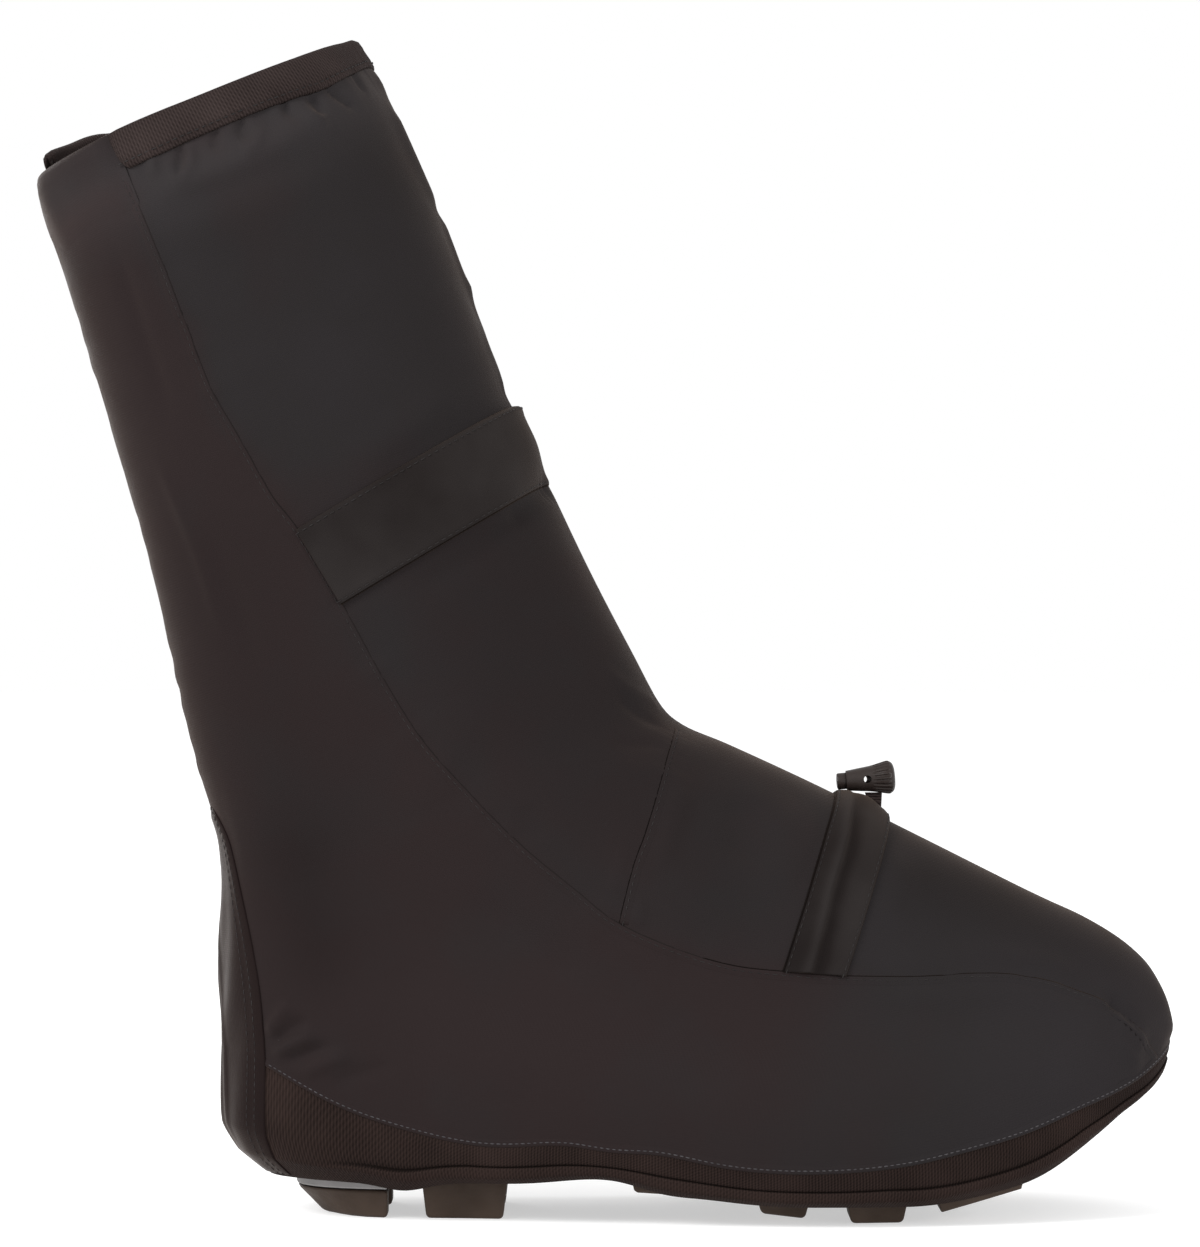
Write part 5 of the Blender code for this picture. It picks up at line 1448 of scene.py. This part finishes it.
def stitch_tree(finish):
    """Geometry Nodes: lines in, threads along them out."""
    tree = bpy.data.node_groups.new("Stitch rows " + finish.name, "GeometryNodeTree")
    tree.interface.new_socket("Geometry", in_out="INPUT", socket_type="NodeSocketGeometry")
    for name in STITCH_INPUTS:
        tree.interface.new_socket(name, in_out="INPUT", socket_type="NodeSocketFloat")
    tree.interface.new_socket("Geometry", in_out="OUTPUT", socket_type="NodeSocketGeometry")
    given = tree.nodes.new("NodeGroupInput").outputs

    def flow(kind, inputs=None, **settings):
        """One node's first output."""
        return node(tree, kind, inputs, **settings).outputs[0]

    lines = flow("GeometryNodeMeshToCurve", {"Mesh": given["Geometry"]})
    points = flow("GeometryNodeResampleCurve", {"Curve": lines, "Length": given["Spacing"]}, mode="LENGTH")
    ball = flow("GeometryNodeMeshUVSphere", {"Segments": THREAD_SEGMENTS, "Rings": THREAD_RINGS, "Radius": 1.0})
    half = math_node(tree, "MULTIPLY", given["Stitch Length"], 0.5)
    size = flow("ShaderNodeCombineXYZ", {"X": given["Thread Radius"], "Y": given["Thread Radius"], "Z": half})
    thread = flow("GeometryNodeTransform", {"Geometry": ball, "Scale": size})
    turn = flow("FunctionNodeAlignRotationToVector", {"Vector": flow("GeometryNodeInputTangent")}, axis="Z")
    vary = node(tree, "FunctionNodeRandomValue", {2: SHORTEST, 3: LONGEST, "Seed": LENGTH_SEED}, data_type="FLOAT")
    sewn = flow("GeometryNodeInstanceOnPoints", {
        "Points": points, "Instance": thread, "Rotation": turn, "Scale": vary.outputs[1]})
    real = flow("GeometryNodeRealizeInstances", {"Geometry": sewn})
    rounded = flow("GeometryNodeSetShadeSmooth", {"Geometry": real})
    coloured = flow("GeometryNodeSetMaterial", {"Geometry": rounded, "Material": finish})
    tree.links.new(coloured, tree.nodes.new("NodeGroupOutput").inputs["Geometry"])
    return tree


def sew(name, rows, finish, sizes):
    """Stitch along rows of spots, as one plain mesh."""
    mesh = bpy.data.meshes.new(name + "_lines")
    spots, edges = [], []
    for row in rows:
        start = len(spots)
        spots += (np.asarray(row) + SHIFT).tolist()
        edges += [(start + i, start + i + 1) for i in range(len(row) - 1)]
    mesh.from_pydata(spots, edges, [])
    lines = new_object(name + "_lines", mesh)
    sewing = lines.modifiers.new("stitches", "NODES")
    sewing.node_group = stitch_tree(finish)
    inputs = {item.name: item.identifier for item in sewing.node_group.interface.items_tree if item.in_out == "INPUT"}
    for key, value in zip(STITCH_INPUTS, sizes):
        sewing[inputs[key]] = value
    plain = plain_mesh(lines)
    lines.modifiers.remove(sewing)
    bpy.data.objects.remove(lines)
    print(name, "threads:", len(plain.polygons) // (THREAD_SEGMENTS * THREAD_RINGS))
    return new_object(name, plain)


# %% Rows along the seams
LAP_TOP, LAP_ROW, STRIP_TOP = 0.00024, 0.0009, 0.00002
RIM_ROW_START, RIM_ROW_STEPS, RIM_ROW_OUT, RIM_ROW_UP = 0.49, 700, 0.00034, 0.0007
PANEL_LINES = (0.90, 0.80)
BINDING_ROW, BINDING_ROW_START = ((0.86, 0.0014), (0.5, 0.0)), BINDING_START + 0.01
# Spacing, length of a stitch, and radius of the thread.
SEAM_SIZES, RAND_SIZES, BINDING_SIZES = (
    (0.0025, 0.0018, 0.00018), (0.0019, 0.0013, 0.00022), (0.0024, 0.0018, 0.00022),
)
sewn_paths = (*zip(main_paths, SEAM_SIDES), (instep_path, -1), (back_path, -1))
seam_rows = [row_beside(path, side * LAP_ROW, LAP_TOP) for path, side in sewn_paths]
for (turn, level), across, heights, line in (
    (strap_lines, STRAP_ACROSS, strap_height, STRAP_FLAT),
    (channel_lines, CHANNEL_ACROSS, channel_height, CHANNEL_FLAT),
):
    for side in SEAM_SIDES:
        at = np.argmin(np.abs(across - side * line))
        seam_rows.append(skin(turn[at], level[at], heights[at] + STRIP_TOP))
for side in SEAM_SIDES:
    for line in PANEL_LINES:
        at = np.argmin(np.abs(PANEL_ACROSS - side * line))
        seam_rows.append(np.array([ring[at] for ring in panel_rows]))
seam_stitches = sew("seam_stitches", seam_rows, seam_thread, SEAM_SIZES)

rim_stitches = rim_row(np.linspace(RIM_ROW_START, TURN - RIM_ROW_START, RIM_ROW_STEPS), RIM_ROW_OUT, RIM_ROW_UP)
angles = np.linspace(BINDING_ROW_START, BINDING_END, BINDING_STEPS)
binding_row = along_collar(angles, BINDING_ROW, np.full(BINDING_STEPS, BINDING_HEIGHT))[:, 0]
rand_stitches = sew("rand_stitches", [rim_stitches], rand_thread, RAND_SIZES)
binding_stitches = sew("binding_stitches", [binding_row], seam_thread, BINDING_SIZES)

# %% [markdown]
# ## Ride, floor, light and camera
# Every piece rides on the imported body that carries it: all on the shoe, except the lock's button. The floor is pale
# and plain. The light is soft from all round, with three soft boxes: the key above the camera's left, a fill at its
# right, and one behind the shoe on the left. The camera looks straight at the outer side from its own height.

# %% Which body carries each piece
# Piece, its body, the nodes it replaces, and its slot.
RIDES = (
    (upper_shell, "shoe", ("upper",), "shell_fabric"),
    *((piece, "shoe", (), "shell_fabric") for piece in (
        upper_lining, *main_laps, instep_lap, back_lap, rim_lap, rear_hem)),
    (strap, "shoe", ("ankle_strap",), "shell_fabric"),
    (channel, "shoe", ("instep_channel",), "shell_fabric"),
    (heel_panel, "shoe", ("heel_counter",), "coated_fabric"),
    (rand_band, "shoe", ("rand",), "elastic"),
    (collar_tape, "shoe", ("collar_binding",), "elastic"),
    (lock_tab, "shoe", ("cord_tab",), "elastic"),
    (lock_barrel, "shoe", ("cord_lock_barrel",), "lock_plastic"),
    (seam_stitches, "shoe", (), "shell_fabric"),
    (rand_stitches, "shoe", (), "shell_fabric"),
    (binding_stitches, "shoe", (), "elastic"),
    (lock_button, "button", ("cord_lock_button",), "lock_plastic"),
    *((piece, "shoe", (name,), SOLE_KINDS.get(name, LUG_KIND)[2]) for name, piece in sole_pieces.items()),
)
for piece, body, nodes, slot in RIDES:
    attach(piece, body)
    if nodes:
        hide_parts(*nodes)
print("pieces:", len(RIDES))

# %% Floor and light
WHITE = (1.0, 1.0, 1.0, 1.0)
FLOOR_RADIUS, FLOOR_STEPS, FLOOR_TONE, FLOOR_GLOW = 12.0, 96, (0.60, 0.60, 0.60, 1.0), 0.52
LIGHT_AIM = (0.0, 0.0, 0.15)
# Name, place, size and watts.
SOFT_BOXES = (
    ("key_box", (-1.9, -1.3, 1.5), 0.9, 66.0),
    ("fill_box", (1.7, -1.4, 0.6), 1.2, 26.0),
    ("back_box", (-1.3, 2.1, 0.8), 1.4, 25.0),
)
floor_mesh = bpy.data.meshes.new("studio_floor")
with shaping(floor_mesh) as shaper:
    bmesh.ops.create_circle(shaper, cap_ends=True, segments=FLOOR_STEPS, radius=FLOOR_RADIUS)
floor_mesh.materials.append(new_finish(
    "floor_paper", Base_Color=FLOOR_TONE, Roughness=1.0, Specular_IOR_Level=0.0,
    Emission_Color=WHITE, Emission_Strength=FLOOR_GLOW)[0])
floor = new_object("studio_floor", floor_mesh)

world = bpy.data.worlds.new("studio")
world.use_nodes = True
world.node_tree.nodes["Background"].inputs["Color"].default_value = WHITE
world.node_tree.nodes["Background"].inputs["Strength"].default_value = 1.0
scene.world = world
scene.view_settings.view_transform = "Standard"

for name, place, size, watts in SOFT_BOXES:
    lamp = bpy.data.lights.new(name, "AREA")
    lamp.size = size
    lamp.energy = watts
    holder = new_object(name, lamp)
    holder.location = place
    holder.rotation_euler = (Vector(LIGHT_AIM) - Vector(place)).to_track_quat("-Z", "Y").to_euler()
print("lights:", len(SOFT_BOXES))

# %% Camera
CAMERA_DISTANCE = 1.6
CAMERA_HEIGHT = 0.1845
CAMERA_SIDE = -0.0007
FOCAL_MM, SENSOR_MM = 146.6, 36.0
lens = bpy.data.cameras.new("side_view")
lens.lens = FOCAL_MM
lens.sensor_width = SENSOR_MM
camera = new_object("side_view", lens)
camera.location = (CAMERA_SIDE, -CAMERA_DISTANCE, CAMERA_HEIGHT)
camera.rotation_euler = (math.pi / 2.0, 0.0, 0.0)
scene.camera = camera
print("camera:", FOCAL_MM, "mm, at", CAMERA_DISTANCE, "m")
